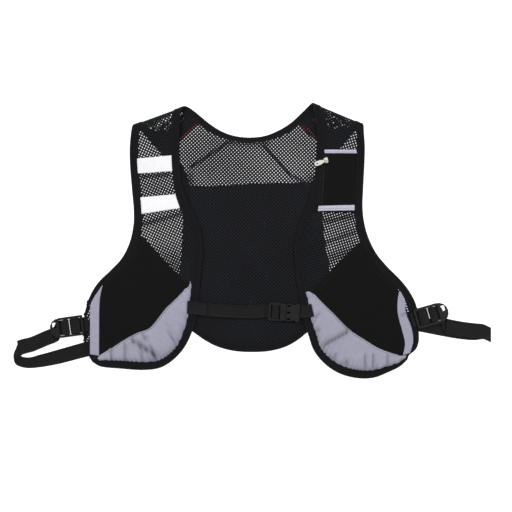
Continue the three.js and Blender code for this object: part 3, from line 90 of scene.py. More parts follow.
bpy.ops.mesh.primitive_plane_add(size=8, location=(0, 0, -0.0004))
floor = bpy.context.object
floor.name = "floor"
sweep, shader = new_material("backlit_white_acrylic", 0.9, Emission_Strength=0.8)
shader.inputs["Base Color"].default_value = linear("#d8d8d8")
shader.inputs["Emission Color"].default_value = linear("#ffffff")
floor.data.materials.append(sweep)

world = bpy.data.worlds.new("soft_studio")
world.use_nodes = True
world.node_tree.nodes["Background"].inputs["Color"].default_value = linear("#ffffff")
world.node_tree.nodes["Background"].inputs["Strength"].default_value = 0.5
bpy.context.scene.world = world
bpy.context.scene.view_settings.view_transform = "Standard"
for spot, energy, size in (((-1.1, 1.1, 1.9), 28, 1.2), ((1.2, 0.3, 2.0), 17, 1.6)):
    bpy.ops.object.light_add(type="AREA", location=spot)
    lamp = bpy.context.object
    lamp.data.energy = energy
    lamp.data.size = size
    lamp.rotation_euler = (math.atan2(math.hypot(*spot[:2]), spot[2]), 0, math.atan2(spot[0], -spot[1]))


# ---- Back shell ----------------------------------------------------------------------
# The inner layer of the back: one panel of dense ripstop nylon below the shoulder
# blades, sewn into the armholes and the hem. It lies flat on the floor under the net.
HALF_WIDTH = 248
STRAP_TO_SHOULDER = 310
MIDDLE = (0.303, -99.501)
BINDING_WIDTH = 14
BINDING_THICKNESS = 3
BACK_REST = BINDING_THICKNESS / 2
SHELL_THICKNESS = 1.1
MESH_THICKNESS = 1.2
SEAM_GAP = 0.9
CLEARANCE = 0.35

# Outer edges of the bindings, from the back over the shoulder down the front: shares of
# the half width and of the height, the binding's width as a share, and the side of the fold.
BACK, FRONT = -1, 1
SHOULDERS = {
    "left": {"cornerU": -0.747, "cornerV": 0.895, "peakU": -0.422, "peakV": 0.99},
    "right": {"cornerU": 0.691, "cornerV": 0.9, "peakU": 0.391, "peakV": 1.0},
}
OPENING = {
    "left": [
        (-0.35, 0.96, 0.75, BACK),
        (-0.388, 0.983, 0.8, BACK),
        (-0.444, 0.96, 0.86, FRONT),
        (-0.453, 0.9, 0.89, FRONT),
        (-0.453, 0.775, 0.87, FRONT),
        (-0.45, 0.675, 0.83, FRONT),
        (-0.434, 0.585, 0.9, FRONT),
        (-0.403, 0.515, 1.0, FRONT),
        (-0.359, 0.445, 1.15, FRONT),
        (-0.322, 0.375, 1.12, FRONT),
        (-0.309, 0.275, 1.2, FRONT),
        (-0.319, 0.165, 1.1, FRONT),
        (-0.334, 0.05, 1.05, FRONT),
        (-0.35, -0.065, 1.07, FRONT),
        (-0.388, -0.155, 0.98, FRONT),
        (-0.428, -0.215, 0.9, FRONT),
        (-0.497, -0.275, 0.9, FRONT),
        (-0.578, -0.313, 0.95, FRONT),
        (-0.672, -0.324, 1.0, FRONT),
        (-0.822, -0.317, 1.0, FRONT),
        (-0.953, -0.305, 0.85, FRONT),
        (-1.0, -0.283, 0.5, FRONT),
    ],
    "right": [
        (0.315, 0.966, 0.75, BACK),
        (0.347, 0.992, 0.8, BACK),
        (0.378, 0.975, 0.86, FRONT),
        (0.393, 0.93, 0.89, FRONT),
        (0.4, 0.865, 0.89, FRONT),
        (0.4, 0.765, 0.87, FRONT),
        (0.391, 0.675, 0.8, FRONT),
        (0.372, 0.595, 0.82, FRONT),
        (0.347, 0.515, 0.85, FRONT),
        (0.309, 0.44, 0.9, FRONT),
        (0.278, 0.37, 0.97, FRONT),
        (0.259, 0.285, 1.0, FRONT),
        (0.2625, 0.205, 0.97, FRONT),
        (0.278, 0.11, 0.9, FRONT),
        (0.3, 0.01, 0.95, FRONT),
        (0.319, -0.08, 0.95, FRONT),
        (0.35, -0.155, 0.97, FRONT),
        (0.378, -0.22, 0.92, FRONT),
        (0.428, -0.275, 0.95, FRONT),
        (0.491, -0.318, 1.0, FRONT),
        (0.572, -0.35, 1.03, FRONT),
        (0.672, -0.366, 1.05, FRONT),
        (0.759, -0.362, 0.98, FRONT),
        (0.847, -0.335, 0.8, FRONT),
        (0.922, -0.305, 0.6, FRONT),
        (0.966, -0.272, 0.42, FRONT),
    ],
}
ARMHOLE = {
    "left": [
        (-0.489, 0.02, 0.89, BACK),
        (-0.472, 0.08, 0.89, BACK),
        (-0.45, 0.2, 0.89, BACK),
        (-0.4375, 0.35, 0.89, BACK),
        (-0.434, 0.485, 0.89, BACK),
        (-0.444, 0.585, 0.89, BACK),
        (-0.481, 0.67, 0.89, BACK),
        (-0.553, 0.74, 0.89, BACK),
        (-0.634, 0.8125, 0.86, BACK),
        (-0.703, 0.875, 0.83, BACK),
        (-0.756, 0.85, 0.87, FRONT),
        (-0.764, 0.775, 0.89, FRONT),
        (-0.763, 0.685, 0.9, FRONT),
        (-0.753, 0.575, 0.93, FRONT),
        (-0.742, 0.475, 0.95, FRONT),
        (-0.744, 0.4, 0.92, FRONT),
        (-0.769, 0.31, 0.85, FRONT),
        (-0.816, 0.235, 0.8, FRONT),
        (-0.884, 0.175, 0.7, FRONT),
        (-0.947, 0.1275, 0.6, FRONT),
        (-0.984, 0.09, 0.45, FRONT),
        (-1.006, 0.06, 0.3, FRONT),
    ],
    "right": [
        (0.501, 0.02, 0.83, BACK),
        (0.494, 0.08, 0.83, BACK),
        (0.478, 0.195, 0.83, BACK),
        (0.453, 0.315, 0.83, BACK),
        (0.4375, 0.435, 0.83, BACK),
        (0.434, 0.55, 0.83, BACK),
        (0.453, 0.665, 0.83, BACK),
        (0.509, 0.745, 0.83, BACK),
        (0.578, 0.81, 0.81, BACK),
        (0.65, 0.878, 0.78, BACK),
        (0.6925, 0.86, 0.75, FRONT),
        (0.699, 0.785, 0.83, FRONT),
        (0.697, 0.685, 0.9, FRONT),
        (0.691, 0.575, 0.93, FRONT),
        (0.6875, 0.49, 0.92, FRONT),
        (0.697, 0.415, 0.88, FRONT),
        (0.725, 0.335, 0.84, FRONT),
        (0.772, 0.26, 0.82, FRONT),
        (0.841, 0.1925, 0.82, FRONT),
        (0.916, 0.1325, 0.8, FRONT),
        (0.972, 0.0775, 0.8, FRONT),
        (1.009, 0.025, 0.85, FRONT),
        (1.031, -0.025, 0.85, FRONT),
    ],
}
NECK = [
    (-0.344, 0.956, 0.75, BACK),
    (-0.266, 0.905, 0.72, BACK),
    (-0.191, 0.8675, 0.6, BACK),
    (-0.109, 0.845, 0.5, BACK),
    (-0.016, 0.8375, 0.5, BACK),
    (0.078, 0.846, 0.55, BACK),
    (0.159, 0.871, 0.65, BACK),
    (0.241, 0.9115, 0.72, BACK),
    (0.309, 0.962, 0.75, BACK),
]
BACK_HEM = [
    (-0.497, -0.045, 0.94, BACK),
    (-0.441, -0.0925, 0.94, BACK),
    (-0.378, -0.13, 0.94, BACK),
    (-0.306, -0.1715, 0.94, BACK),
    (-0.228, -0.205, 0.94, BACK),
    (-0.122, -0.2285, 0.94, BACK),
    (-0.003, -0.235, 0.94, BACK),
    (0.116, -0.2285, 0.94, BACK),
    (0.216, -0.205, 0.94, BACK),
    (0.291, -0.17, 0.94, BACK),
    (0.347, -0.1325, 0.94, BACK),
    (0.416, -0.09, 0.94, BACK),
    (0.491, -0.045, 0.94, BACK),
]


def plan(u, v):
    return u * HALF_WIDTH, v * STRAP_TO_SHOULDER


def ease(t):
    s = np.clip(t, 0, 1)
    return s * s * (3 - 2 * s)


# A shoulder is a cloth turned over a straight fold. Its unrolled cloth has coordinates
# a along the fold and b across it, with b below zero on the back.
FOLD_RADIUS = 5
QUARTER_TURN = FOLD_RADIUS * math.pi / 2


def fold_of(shoulder):
    corner = np.array(plan(shoulder["cornerU"], shoulder["cornerV"]))
    along = np.array(plan(shoulder["peakU"], shoulder["peakV"])) - corner
    along /= np.linalg.norm(along)
    turn = 1 if along[0] > 0 else -1
    return {"corner": corner, "along": along, "inward": np.array((along[1], -along[0])) * turn, "turn": turn}


FOLDS = {side: fold_of(shoulder) for side, shoulder in SHOULDERS.items()}


def on_cloth(side):
    """Cloth coordinates of a table row on a shoulder's unrolled cloth."""
    fold = FOLDS[side]

    def locate(row):
        offset = np.array(plan(*row[:2])) - fold["corner"]
        reach = offset @ fold["inward"]
        if reach >= FOLD_RADIUS:
            across = reach - FOLD_RADIUS + QUARTER_TURN
        else:
            across = FOLD_RADIUS * math.acos(1 - min(1, max(0, reach / FOLD_RADIUS)))
        return offset @ fold["along"], across * (row[3] if len(row) > 3 else FRONT)

    return locate


def on_plan(row):
    return plan(*row[:2])


FRONT_REST = 1.5
FRONT_OVER_STRAPS = 3.4
FRONT_OVER_BACK = 5.1
BACK_EDGE = 130
BACK_RAMP = 30
FOLD_FALL = 85


def front_rest(x, y):
    """Height at which a front's cloth rests where the fold no longer lifts it."""
    over_back = ease((BACK_EDGE + BACK_RAMP - abs(x)) / BACK_RAMP)
    over_straps = ease((STRAP_TO_SHOULDER * 0.26 - y) / (STRAP_TO_SHOULDER * 0.24))
    beside = FRONT_REST + (FRONT_OVER_STRAPS - FRONT_REST) * over_straps
    return beside + (FRONT_OVER_BACK - beside) * over_back


def roll(side, a, b):
    """The cloth's middle in space, for arrays of cloth coordinates."""
    fold = FOLDS[side]
    turned = abs(b) < QUARTER_TURN
    angle = np.clip(b / FOLD_RADIUS, -math.pi / 2, math.pi / 2)
    reach = np.where(turned, FOLD_RADIUS * (1 - np.cos(angle)), abs(b) - QUARTER_TURN + FOLD_RADIUS)
    x = fold["corner"][0] + a * fold["along"][0] + reach * fold["inward"][0]
    y = fold["corner"][1] + a * fold["along"][1] + reach * fold["inward"][1]
    rest = front_rest(x, y)
    fall = ease((reach - FOLD_RADIUS) / FOLD_FALL)
    lying = np.where(b > 0, rest + (BACK_REST + 2 * FOLD_RADIUS - rest) * (1 - fall), BACK_REST)
    return np.stack([x, y, np.where(turned, BACK_REST + FOLD_RADIUS * (1 + np.sin(angle)), lying)], -1)


def folded(side):
    """Places cloth points of a front in space, risen outwards from the cloth's middle."""

    def place(a, b, rise):
        half = 0.5
        normal = np.cross(
            roll(side, a + half, b) - roll(side, a - half, b), roll(side, a, b + half) - roll(side, a, b - half)
        )
        normal /= np.linalg.norm(normal, axis=-1)[..., None]
        return roll(side, a, b) - normal * (rise * FOLDS[side]["turn"])[..., None]

    return place


def level(a, b, rise):
    """Places cloth that lies flat: its coordinates are the plan's, and rise its height."""
    return np.stack([a, b, rise], -1)


def through(points, steps):
    """Centripetal Catmull-Rom line through points, with steps from each to the next."""
    p = np.vstack([2 * points[0] - points[1], points, 2 * points[-1] - points[-2]])
    line = []
    for p0, p1, p2, p3 in zip(p, p[1:], p[2:], p[3:]):
        d0, d1, d2 = (np.linalg.norm(step) ** 0.5 for step in (p1 - p0, p2 - p1, p3 - p2))
        t1 = ((p1 - p0) / d0 - (p2 - p0) / (d0 + d1) + (p2 - p1) / d1) * d1
        t2 = ((p2 - p1) / d1 - (p3 - p1) / (d1 + d2) + (p3 - p2) / d2) * d1
        for t in np.arange(steps) / steps:
            bend = (3 * (p2 - p1) - 2 * t1 - t2) * t**2 + (2 * (p1 - p2) + t1 + t2) * t**3
            line.append(p1 + t1 * t + bend)
    return np.array([*line, p[-2]])


def spline(rows, locate, steps=4):
    """Line through a table's rows, with the binding's width as its third value."""
    return through(np.array([(*locate(r), r[2] * BINDING_WIDTH if len(r) > 2 else 0) for r in rows]), steps)


def inset(line, side, extra=0.0):
    """The line moved sideways by its own width and extra; side 1 is to the left of travel."""
    ends = np.vstack([line[:1], line, line[-1:]])
    run = ends[2:, :2] - ends[:-2, :2]
    run /= np.linalg.norm(run, axis=1)[:, None]
    width = (line[:, 2] if line.shape[1] > 2 else np.zeros(len(line))) + extra
    return line[:, :2] + np.stack([-run[:, 1], run[:, 0]], 1) * (width * side)[:, None]


def lengths_of(line):
    return np.concatenate([[0], np.cumsum(np.linalg.norm(np.diff(line[:, :2], axis=0), axis=1))])


def resample(line, shares):
    """The line at shares of its length, with all that it carries."""
    line = np.asarray(line)
    run = lengths_of(line)
    return np.stack([np.interp(np.asarray(shares) * run[-1], run, column) for column in line.T], 1)


def patch(near, far, start, end, rows, columns):
    """Coons patch of cloth points: near and far run the same way, start and end join them."""
    t, k = np.linspace(0, 1, rows + 1), np.linspace(0, 1, columns + 1)
    n, f, s, e = (resample(np.asarray(x)[:, :2], y) for x, y in ((near, t), (far, t), (start, k), (end, k)))
    t, k = t[:, None, None], k[None, :, None]
    ruled = n[:, None] * (1 - k) + f[:, None] * k
    other = s[None] * (1 - t) + e[None] * t
    corner = (n[0] * (1 - k) + f[0] * k) * (1 - t) + (n[-1] * (1 - k) + f[-1] * k) * t
    return ruled + other - corner


def nearest(line, point):
    return int(np.argmin(np.linalg.norm(line[:, :2] - np.asarray(point)[:2], axis=1)))


def make_piece(name, points, faces, material, cloth=None, body="vest"):
    """A smooth-shaded piece from points in millimetres, with its cloth points as UVs."""
    mesh = bpy.data.meshes.new(name)
    shift = np.array((*MIDDLE, 0))
    mesh.from_pydata(((points + shift) * MM).tolist(), [], faces)
    if cloth is not None:
        corners = np.empty(len(mesh.loops), dtype=int)
        mesh.loops.foreach_get("vertex_index", corners)
        mesh.uv_layers.new(name="cloth").data.foreach_set("uv", np.asarray(cloth)[corners].ravel())
    mesh.polygons.foreach_set("use_smooth", [True] * len(mesh.polygons))
    mesh.materials.append(material)
    piece = bpy.data.objects.new(name, mesh)
    bpy.context.collection.objects.link(piece)
    bpy.ops.object.select_all(action="DESELECT")
    bpy.context.view_layer.objects.active = piece
    piece.select_set(True)
    bpy.ops.object.mode_set(mode="EDIT")
    bpy.ops.mesh.select_all(action="SELECT")
    bpy.ops.mesh.normals_make_consistent(inside=False)
    bpy.ops.object.mode_set(mode="OBJECT")
    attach(piece, body)
    return piece


def cloth_area(grid):
    across, down = np.diff(grid, axis=1)[:-1], np.diff(grid, axis=0)[:, :-1]
    return float(np.abs(across[..., 0] * down[..., 1] - across[..., 1] * down[..., 0]).sum()) * MM**2


def declare_sheet(grid_or_area, extent):
    """Works out a cloth's area, at most that of the rectangle it was cut from; the result is not kept."""
    area = grid_or_area if isinstance(grid_or_area, float) else cloth_area(grid_or_area)
    min(area, 0.999 * extent[0] * extent[1])


UNDER_BINDING = 3.0


def make_cloth(name, grid, place, middle, thickness, material, tucked="", down=1.0):
    """A closed sheet on a grid of cloth points; middle is the height of its middle layer.
    The edges named in tucked go on under their binding, lowered by the factor down."""
    rows, columns = grid.shape[:2]
    grid, middle = grid.copy(), np.array(np.broadcast_to(middle, (rows, columns)), dtype=float)
    edges = {"start": (0, 1), "end": (-1, -2), "near": ((slice(None), 0), (slice(None), 1))}
    edges["far"] = ((slice(None), -1), (slice(None), -2))
    for edge in tucked.split():
        last, before = edges[edge]
        way = grid[last] - grid[before]
        grid[last] += way / np.linalg.norm(way, axis=-1)[..., None] * UNDER_BINDING
        middle[last] *= down
    half = np.full((rows, columns), thickness / 2)
    half[[0, -1]] *= 0.6
    half[:, [0, -1]] *= 0.6
    a, b = grid[..., 0], grid[..., 1]
    layers = [place(a, b, middle + half * way).reshape(-1, 3) for way in (-1, 1)]
    at = np.arange(rows * columns).reshape(rows, columns)
    quads = np.stack([at[:-1, :-1], at[:-1, 1:], at[1:, 1:], at[1:, :-1]], -1).reshape(-1, 4)
    ring = np.concatenate([at[0], at[1:, -1], at[-1, -2::-1], at[-2:0:-1, 0]])
    after = np.roll(ring, -1)
    total = rows * columns
    sides = np.stack([ring, after, after + total, ring + total], -1)
    faces = [*quads[:, ::-1].tolist(), *(quads + total).tolist(), *sides.tolist()]
    uvs = np.tile(grid.reshape(-1, 2), (2, 1))
    piece = make_piece(name, np.vstack(layers), faces, material, uvs)
    down = max(lengths_of(grid[:, k])[-1] for k in range(columns)) * MM
    across = max(lengths_of(grid[k])[-1] for k in range(rows)) * MM
    if min(across, down) > 10 * MM:
        declare_sheet(grid, (float(across), float(down)))
    return piece


def bands(tree, uv, period, direction="X", turn=0.0):
    """Even threads across the cloth: a wave of the given period in millimetres."""
    turned = add_node(tree, "ShaderNodeMapping", None, {"Vector": uv, "Rotation": (0, 0, math.radians(turn))})
    settings = {"wave_type": "BANDS", "bands_direction": direction}
    wave = add_node(tree, "ShaderNodeTexWave", settings, {"Vector": turned.outputs[0], "Scale": math.pi / 10 / period})
    return wave.outputs["Fac"]


def finish_cloth(material, shader, low, high, pattern, relief, strength=0.6):
    """Colours a cloth between two tones by its pattern, and lifts its threads by relief."""
    tree = material.node_tree
    tones = {"Factor": pattern, "A": linear(low), "B": linear(high)}
    mix = add_node(tree, "ShaderNodeMix", {"data_type": "RGBA"})
    for key, value in tones.items():
        place = next(s for s in mix.inputs if s.name == key and (key == "Factor" or s.type == "RGBA"))
        if isinstance(value, bpy.types.NodeSocket):
            tree.links.new(value, place)
        else:
            place.default_value = value
    colour = next(s for s in mix.outputs if s.type == "RGBA")
    tree.links.new(colour, shader.inputs["Base Color"])
    bump = add_node(tree, "ShaderNodeBump", None, {"Height": pattern, "Distance": relief * MM, "Strength": strength})
    tree.links.new(bump.outputs[0], shader.inputs["Normal"])


def product(tree, first, second, operation="MULTIPLY"):
    return add_node(tree, "ShaderNodeMath", {"operation": operation}, {0: first, 1: second}).outputs[0]


def cloth_uv(tree):
    return add_node(tree, "ShaderNodeUVMap", {"uv_map": "cloth"}).outputs[0]


# Ripstop nylon: a dense matt plain weave with a thicker thread every few millimetres, which
# shows as a faint grid.
ripstop, shader = new_material("ripstop_nylon_woven", 0.72, Sheen_Weight=0.05)
tree = ripstop.node_tree
uv = cloth_uv(tree)
weave = product(tree, bands(tree, uv, 0.9), bands(tree, uv, 0.9, "Y"))
grid_threads = product(tree, bands(tree, uv, 5), bands(tree, uv, 5, "Y"), "MAXIMUM")
cloud = add_node(tree, "ShaderNodeTexNoise", None, {"Vector": uv, "Scale": 0.03, "Detail": 3}).outputs[0]
pattern = product(tree, product(tree, weave, grid_threads, "ADD"), cloud)
finish_cloth(ripstop, shader, "#050506", "#111114", pattern, 0.12)


def front_lines(side):
    """Inner edges of a side's bindings, on its unrolled cloth."""
    locate = on_cloth(side)
    opening = inset(spline(OPENING[side], locate), 1, SEAM_GAP)
    arm = inset(spline(ARMHOLE[side], locate), -1, SEAM_GAP)
    return {"locate": locate, "opening": opening, "arm": arm}


LINES = {side: front_lines(side) for side in ("left", "right")}
SEAM_BEHIND = -(QUARTER_TURN + 12 - FOLD_RADIUS)
BACK_LINES = {
    "neck": inset(spline(NECK, on_plan), -1, SEAM_GAP),
    "hem": inset(spline(BACK_HEM, on_plan), 1, SEAM_GAP)[1:-1],
}
for side, lines in LINES.items():
    for key, limit in (("arm", SEAM_BEHIND - CLEARANCE), ("opening", SEAM_BEHIND / 2 - 1)):
        behind = lines[key][lines[key][:, 1] < limit][::-1]
        BACK_LINES[side, key] = roll(side, behind[:, 0], behind[:, 1])[:, :2]


def back_side(side, corner):
    """A side edge of the back, from the armhole's point nearest to corner down to the hem."""
    arm = BACK_LINES[side, "arm"]
    hem_end = BACK_LINES["hem"][0 if side == "left" else -1]
    return np.vstack([arm[nearest(arm, corner) :], hem_end])


SHELL_TOP = [(-0.403, 0.582), (0, 0.607), (0.372, 0.609)]
top = spline(SHELL_TOP, on_plan)
left_edge, right_edge = back_side("left", top[0]), back_side("right", top[-1])
top = np.vstack([left_edge[:1], top[2:-2, :2], right_edge[:1]])
grid = patch(left_edge, right_edge, top, BACK_LINES["hem"], 60, 56)
half = SHELL_THICKNESS / 2
shell = make_cloth("shell_panel", grid, level, half, SHELL_THICKNESS, ripstop, "near far end")
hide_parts("back_shell")


# ---- Seams on the shell --------------------------------------------------------------
# Two straight seams in pale thread run down the middle of the shell, where an inner
# pocket is sewn on behind. They show only through the holes of the net.
def make_stitches(name, rows, place, pitch, length, thickness, material, across=False):
    """Sewn thread: for each (line, rise) a row of short pointed stitches along the cloth."""
    centres, ways, rises = [], [], []
    for line, rise in rows:
        total = lengths_of(line)[-1]
        count = max(1, int(total / pitch))
        shares = (np.arange(count) + 0.5) / count
        line = np.asarray(line)[:, :2]
        spot = resample(line, shares)
        way = resample(line, np.minimum(1, shares + 1 / total)) - resample(line, np.maximum(0, shares - 1 / total))
        centres.append(spot)
        ways.append(way / np.linalg.norm(way, axis=1)[:, None])
        height = np.broadcast_to(rise, len(line))
        rises.append(np.interp(shares * total, lengths_of(line), height))
    centre, way, rise = np.vstack(centres), np.vstack(ways), np.concatenate(rises)
    beside = np.stack([-way[:, 1], way[:, 0]], 1)
    if across:
        way, beside = beside, way
    corners, heights = [], []
    for along in (-0.28, 0.28):
        for aside, up in ((-0.5, 0), (0, 0.5), (0.5, 0), (0, -0.5)):
            corners.append(centre + way * along * length + beside * aside * thickness)
            heights.append(rise + up * thickness)
    for along in (-0.5, 0.5):
        corners.append(centre + way * along * length)
        heights.append(rise - 0.2 * thickness)
    cloth = np.stack(corners, 1).reshape(-1, 2)
    points = place(cloth[:, 0], cloth[:, 1], np.stack(heights, 1).ravel())
    one = [[k, (k + 1) % 4, 4 + (k + 1) % 4, 4 + k] for k in range(4)]
    tips = [[(k + 1) % 4, k, 8] for k in range(4)] + [[4 + k, 4 + (k + 1) % 4, 9] for k in range(4)]
    faces = [[i + 10 * n for i in face] for n in range(len(centre)) for face in one + tips]
    return make_piece(name, points, faces, material, cloth)


def twisted_thread(name, low, high):
    """Spun polyester sewing thread: two plies twisted, which gives fine slanted bands."""
    material, shader = new_material(name, 0.6, Sheen_Weight=0.1)
    tree = material.node_tree
    finish_cloth(material, shader, low, high, bands(tree, cloth_uv(tree), 0.7, turn=35), 0.08)
    return material


grey_thread = twisted_thread("grey_polyester_thread", "#5c5e64", "#a2a4a8")
SHELL_SEAMS = [((-6.2, 141), (-1.4, -60)), ((17, 141), (23.8, 12))]
rows = [(np.array(seam, dtype=float), SHELL_THICKNESS + 0.1) for seam in SHELL_SEAMS]
make_stitches("shell_seams", rows, level, 5.7, 3.2, 0.45, grey_thread)


# ---- Back net ------------------------------------------------------------------------
# Knitted polyester air mesh over the whole back: a square lattice of soft threads with
# open holes, laid on the bias. Above the shell the floor shows through it.
NET_PITCH = 4.0
HOLE_HALF = 0.87
HOLE_CORNER = 0.34
BACK_MESH_REST = 2

CREASES = [
    {"fromU": -0.128, "fromV": 0.825, "toU": -0.391, "toV": 0.685, "height": 1.6, "width": 7},
    {"fromU": 0.066, "fromV": 0.8, "toU": 0.234, "toV": 0.65, "height": 1.4, "width": 7},
    {"fromU": 0.234, "fromV": 0.65, "toU": 0.36, "toV": 0.6, "height": 1.2, "width": 7},
]


def inside(points, outline, margin=0.0):
    """Which points lie in a closed outline or within margin of it; below zero, well inside."""
    start, end = outline, np.roll(outline, -1, axis=0)
    x, y = points[:, 0, None], points[:, 1, None]
    rise = np.where(end[:, 1] == start[:, 1], 1, end[:, 1] - start[:, 1])
    crossing = (end[:, 0] - start[:, 0]) * (y - start[:, 1]) / rise + start[:, 0]
    within = (((start[:, 1] > y) != (end[:, 1] > y)) & (x < crossing)).sum(1) % 2 == 1
    run = end - start
    offset = points[:, None] - start
    along = np.clip((offset * run).sum(-1) / np.maximum((run**2).sum(-1), 1e-9), 0, 1)
    away = np.linalg.norm(offset - along[..., None] * run, axis=-1).min(1)
    return (within & (away > -margin)) if margin < 0 else (within | (away < margin))


def make_net(name, outline, place, middle, openness, turn, margin=UNDER_BINDING):
    """Closed lattice of threads round holes with cut corners, on the cells in the outline.
    Holes are full size where openness is 1, and close up where the net is pulled or folded."""
    angle = math.radians(turn)
    spin = np.array([[math.cos(angle), math.sin(angle)], [-math.sin(angle), math.cos(angle)]])
    turned = outline @ spin.T / NET_PITCH
    low, high = np.floor(turned.min(0)).astype(int) - 2, np.ceil(turned.max(0)).astype(int) + 2
    size = high - low
    cells = np.stack(np.meshgrid(*(np.arange(n) for n in size), indexing="ij"), -1).reshape(-1, 2)
    centre = (cells + low + 0.5) * NET_PITCH @ spin
    kept = inside(centre, outline, margin)
    cells, centre = cells[kept], centre[kept]
    wide = size + 1
    steps = np.array([(0, 0), (1, 0), (1, 1), (0, 1)])
    ids = (cells[:, None] + steps) @ np.array([wide[1], 1])
    used, corner = np.unique(ids, return_inverse=True)
    corner = corner.reshape(-1, 4)
    lattice = (np.stack([used // wide[1], used % wide[1]], 1) + low) * NET_PITCH @ spin
    k, h = HOLE_HALF - HOLE_CORNER, HOLE_HALF
    octagon = np.array([(-k, -h), (k, -h), (h, -k), (h, k), (k, h), (-k, h), (-h, k), (-h, -k)]) @ spin
    holes = (centre[:, None] + octagon * openness(centre)[:, None, None]).reshape(-1, 2)
    cloth = np.vstack([lattice, holes])
    hole = len(lattice) + np.arange(len(cells))[:, None] * 8 + np.arange(8)
    half = np.concatenate([np.full(len(lattice), 0.56), np.full(len(holes), 0.36)])
    rise = middle(cloth)
    total = len(cloth)
    quads, triangles = [], []
    for side in range(4):
        near, far = corner[:, side], corner[:, (side + 1) % 4]
        first, second, third = hole[:, 2 * side], hole[:, 2 * side + 1], hole[:, (2 * side + 2) % 8]
        quads += [np.stack([near, far, second, first], 1), np.stack([first, second, far, near], 1) + total]
        triangles += [np.stack([far, third, second], 1), np.stack([second, third, far], 1) + total]
        for p, q in ((first, second), (second, third)):
            quads.append(np.stack([p, q, q + total, p + total], 1))
    edges = np.stack([corner, np.roll(corner, -1, axis=1)], -1).reshape(-1, 2)
    both = np.sort(edges, axis=1) @ np.array([total, 1])
    _, where, count = np.unique(both, return_inverse=True, return_counts=True)
    rim = edges[count[where.ravel()] == 1]
    quads.append(np.stack([rim[:, 1], rim[:, 0], rim[:, 0] + total, rim[:, 1] + total], 1))
    faces = np.vstack(quads).tolist() + np.vstack(triangles).tolist()
    points = np.vstack([place(cloth[:, 0], cloth[:, 1], rise + half * way) for way in (1, -1)])
    piece = make_piece(name, points, faces, air_mesh, np.tile(cloth, (2, 1)))
    extent = np.ptp(cloth, axis=0) * MM
    declare_sheet(len(cells) * (NET_PITCH * MM) ** 2, (float(extent[0]), float(extent[1])))
    return piece


# Soft polyester yarn, knitted so that the loops show as fine slanted grain on each thread.
air_mesh, shader = new_material("polyester_air_mesh_knitted", 0.62, Sheen_Weight=0.06)
tree = air_mesh.node_tree
uv = cloth_uv(tree)
loops = product(tree, bands(tree, uv, 0.8, turn=20), bands(tree, uv, 0.8, turn=-50), "MAXIMUM")
drift = add_node(tree, "ShaderNodeTexNoise", None, {"Vector": uv, "Scale": 0.02, "Detail": 2}).outputs[0]
finish_cloth(air_mesh, shader, "#0d0e12", "#1a1b22", product(tree, loops, drift), 0.1)


def off_line(x, y, line):
    """Distance of plan points to a short line, how far along it they lie, and its length."""
    start, end = (np.array(point, dtype=float) for point in line)
    length = np.linalg.norm(end - start)
    run = (end - start) / length
    return (x - start[0]) * run[1] - (y - start[1]) * run[0], (x - start[0]) * run[0] + (y - start[1]) * run[1], length


def pulled(x, y, bands_of_pull):
    """Openness of a net at plan points: uneven all over, and nearly shut along some bands."""
    open_share = 0.93 + 0.05 * np.sin(x / 31 + np.sin(y / 17)) + 0.05 * np.sin(y / 23 - x / 41)
    for start, end, width, strength in bands_of_pull:
        across, along, length = off_line(x, y, (start, end))
        fade = ease(along / width / 2 + 0.5) * ease((length - along) / width / 2 + 0.5)
        open_share = open_share * (1 - strength * fade * np.exp(-((across / width) ** 2)))
    return np.maximum(open_share, 0.12)


# Bands over the back where the net lies in a crease or is pulled towards a seam.
BACK_PULLS = [
    ((-31.7, 255.8), (-97.0, 212.4), 2.6, 0.8),
    ((-34.0, 254.0), (24.0, 252.0), 6.0, 0.45),
    ((16.4, 248.0), (58.0, 201.5), 2.6, 0.75),
    ((58.0, 201.5), (89.3, 186.0), 2.6, 0.6),
    ((-100.0, 205.0), (-96.0, 178.0), 7.0, 0.45),
    ((92.0, 200.0), (88.0, 176.0), 7.0, 0.45),
]


def back_openness(cloth):
    return pulled(cloth[:, 0], cloth[:, 1], BACK_PULLS)


def back_middle(cloth):
    """Height of the back net: broad slow waves, the creases, and the tapes it lies over."""
    a, b = cloth[:, 0], cloth[:, 1]
    height = BACK_MESH_REST + 0.25 * (1 + np.sin(a / 23 + b / 31)) * np.sin(b / 47) ** 2
    height += 0.45 * ease((b - 0.72 * STRAP_TO_SHOULDER) / 14)
    for crease in CREASES:
        start = np.array(plan(crease["fromU"], crease["fromV"]))
        run = np.array(plan(crease["toU"], crease["toV"])) - start
        length = np.linalg.norm(run)
        along = (cloth - start) @ run / length
        off = (a - start[0]) * run[1] / length - (b - start[1]) * run[0] / length
        fade = ease(along / crease["width"]) * ease((length - along) / crease["width"])
        height += crease["height"] * fade * np.exp(-((off / crease["width"]) ** 2))
    return height


PATCH_LOWER = {"left": [(-0.516, 0.766), (-0.322, 0.902)], "right": [(0.472, 0.77), (0.291, 0.9)]}


def patch_edges(side):
    """The armhole and neck edges of a shoulder patch, both from the shoulder down."""
    arm, opening, neck = BACK_LINES[side, "arm"], BACK_LINES[side, "opening"], BACK_LINES["neck"]
    arm_end, neck_end = (plan(*corner) for corner in PATCH_LOWER[side])
    at = nearest(neck, neck_end)
    down_neck = neck[: at + 1] if side == "left" else neck[at:][::-1]
    return arm[: nearest(arm, arm_end) + 1], np.vstack([opening[:-2], down_neck[1:]])


patches = {side: patch_edges(side) for side in FOLDS}
left_edge, right_edge = BACK_LINES["left", "arm"], BACK_LINES["right", "arm"]
over_neck = np.vstack([BACK_LINES["right", "opening"], BACK_LINES["neck"][::-1], BACK_LINES["left", "opening"][::-1]])
outline = np.vstack([left_edge, BACK_LINES["hem"], right_edge[::-1], over_neck])
back_net = make_net("back_net", outline, level, back_middle, back_openness, 42)
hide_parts("back_mesh")


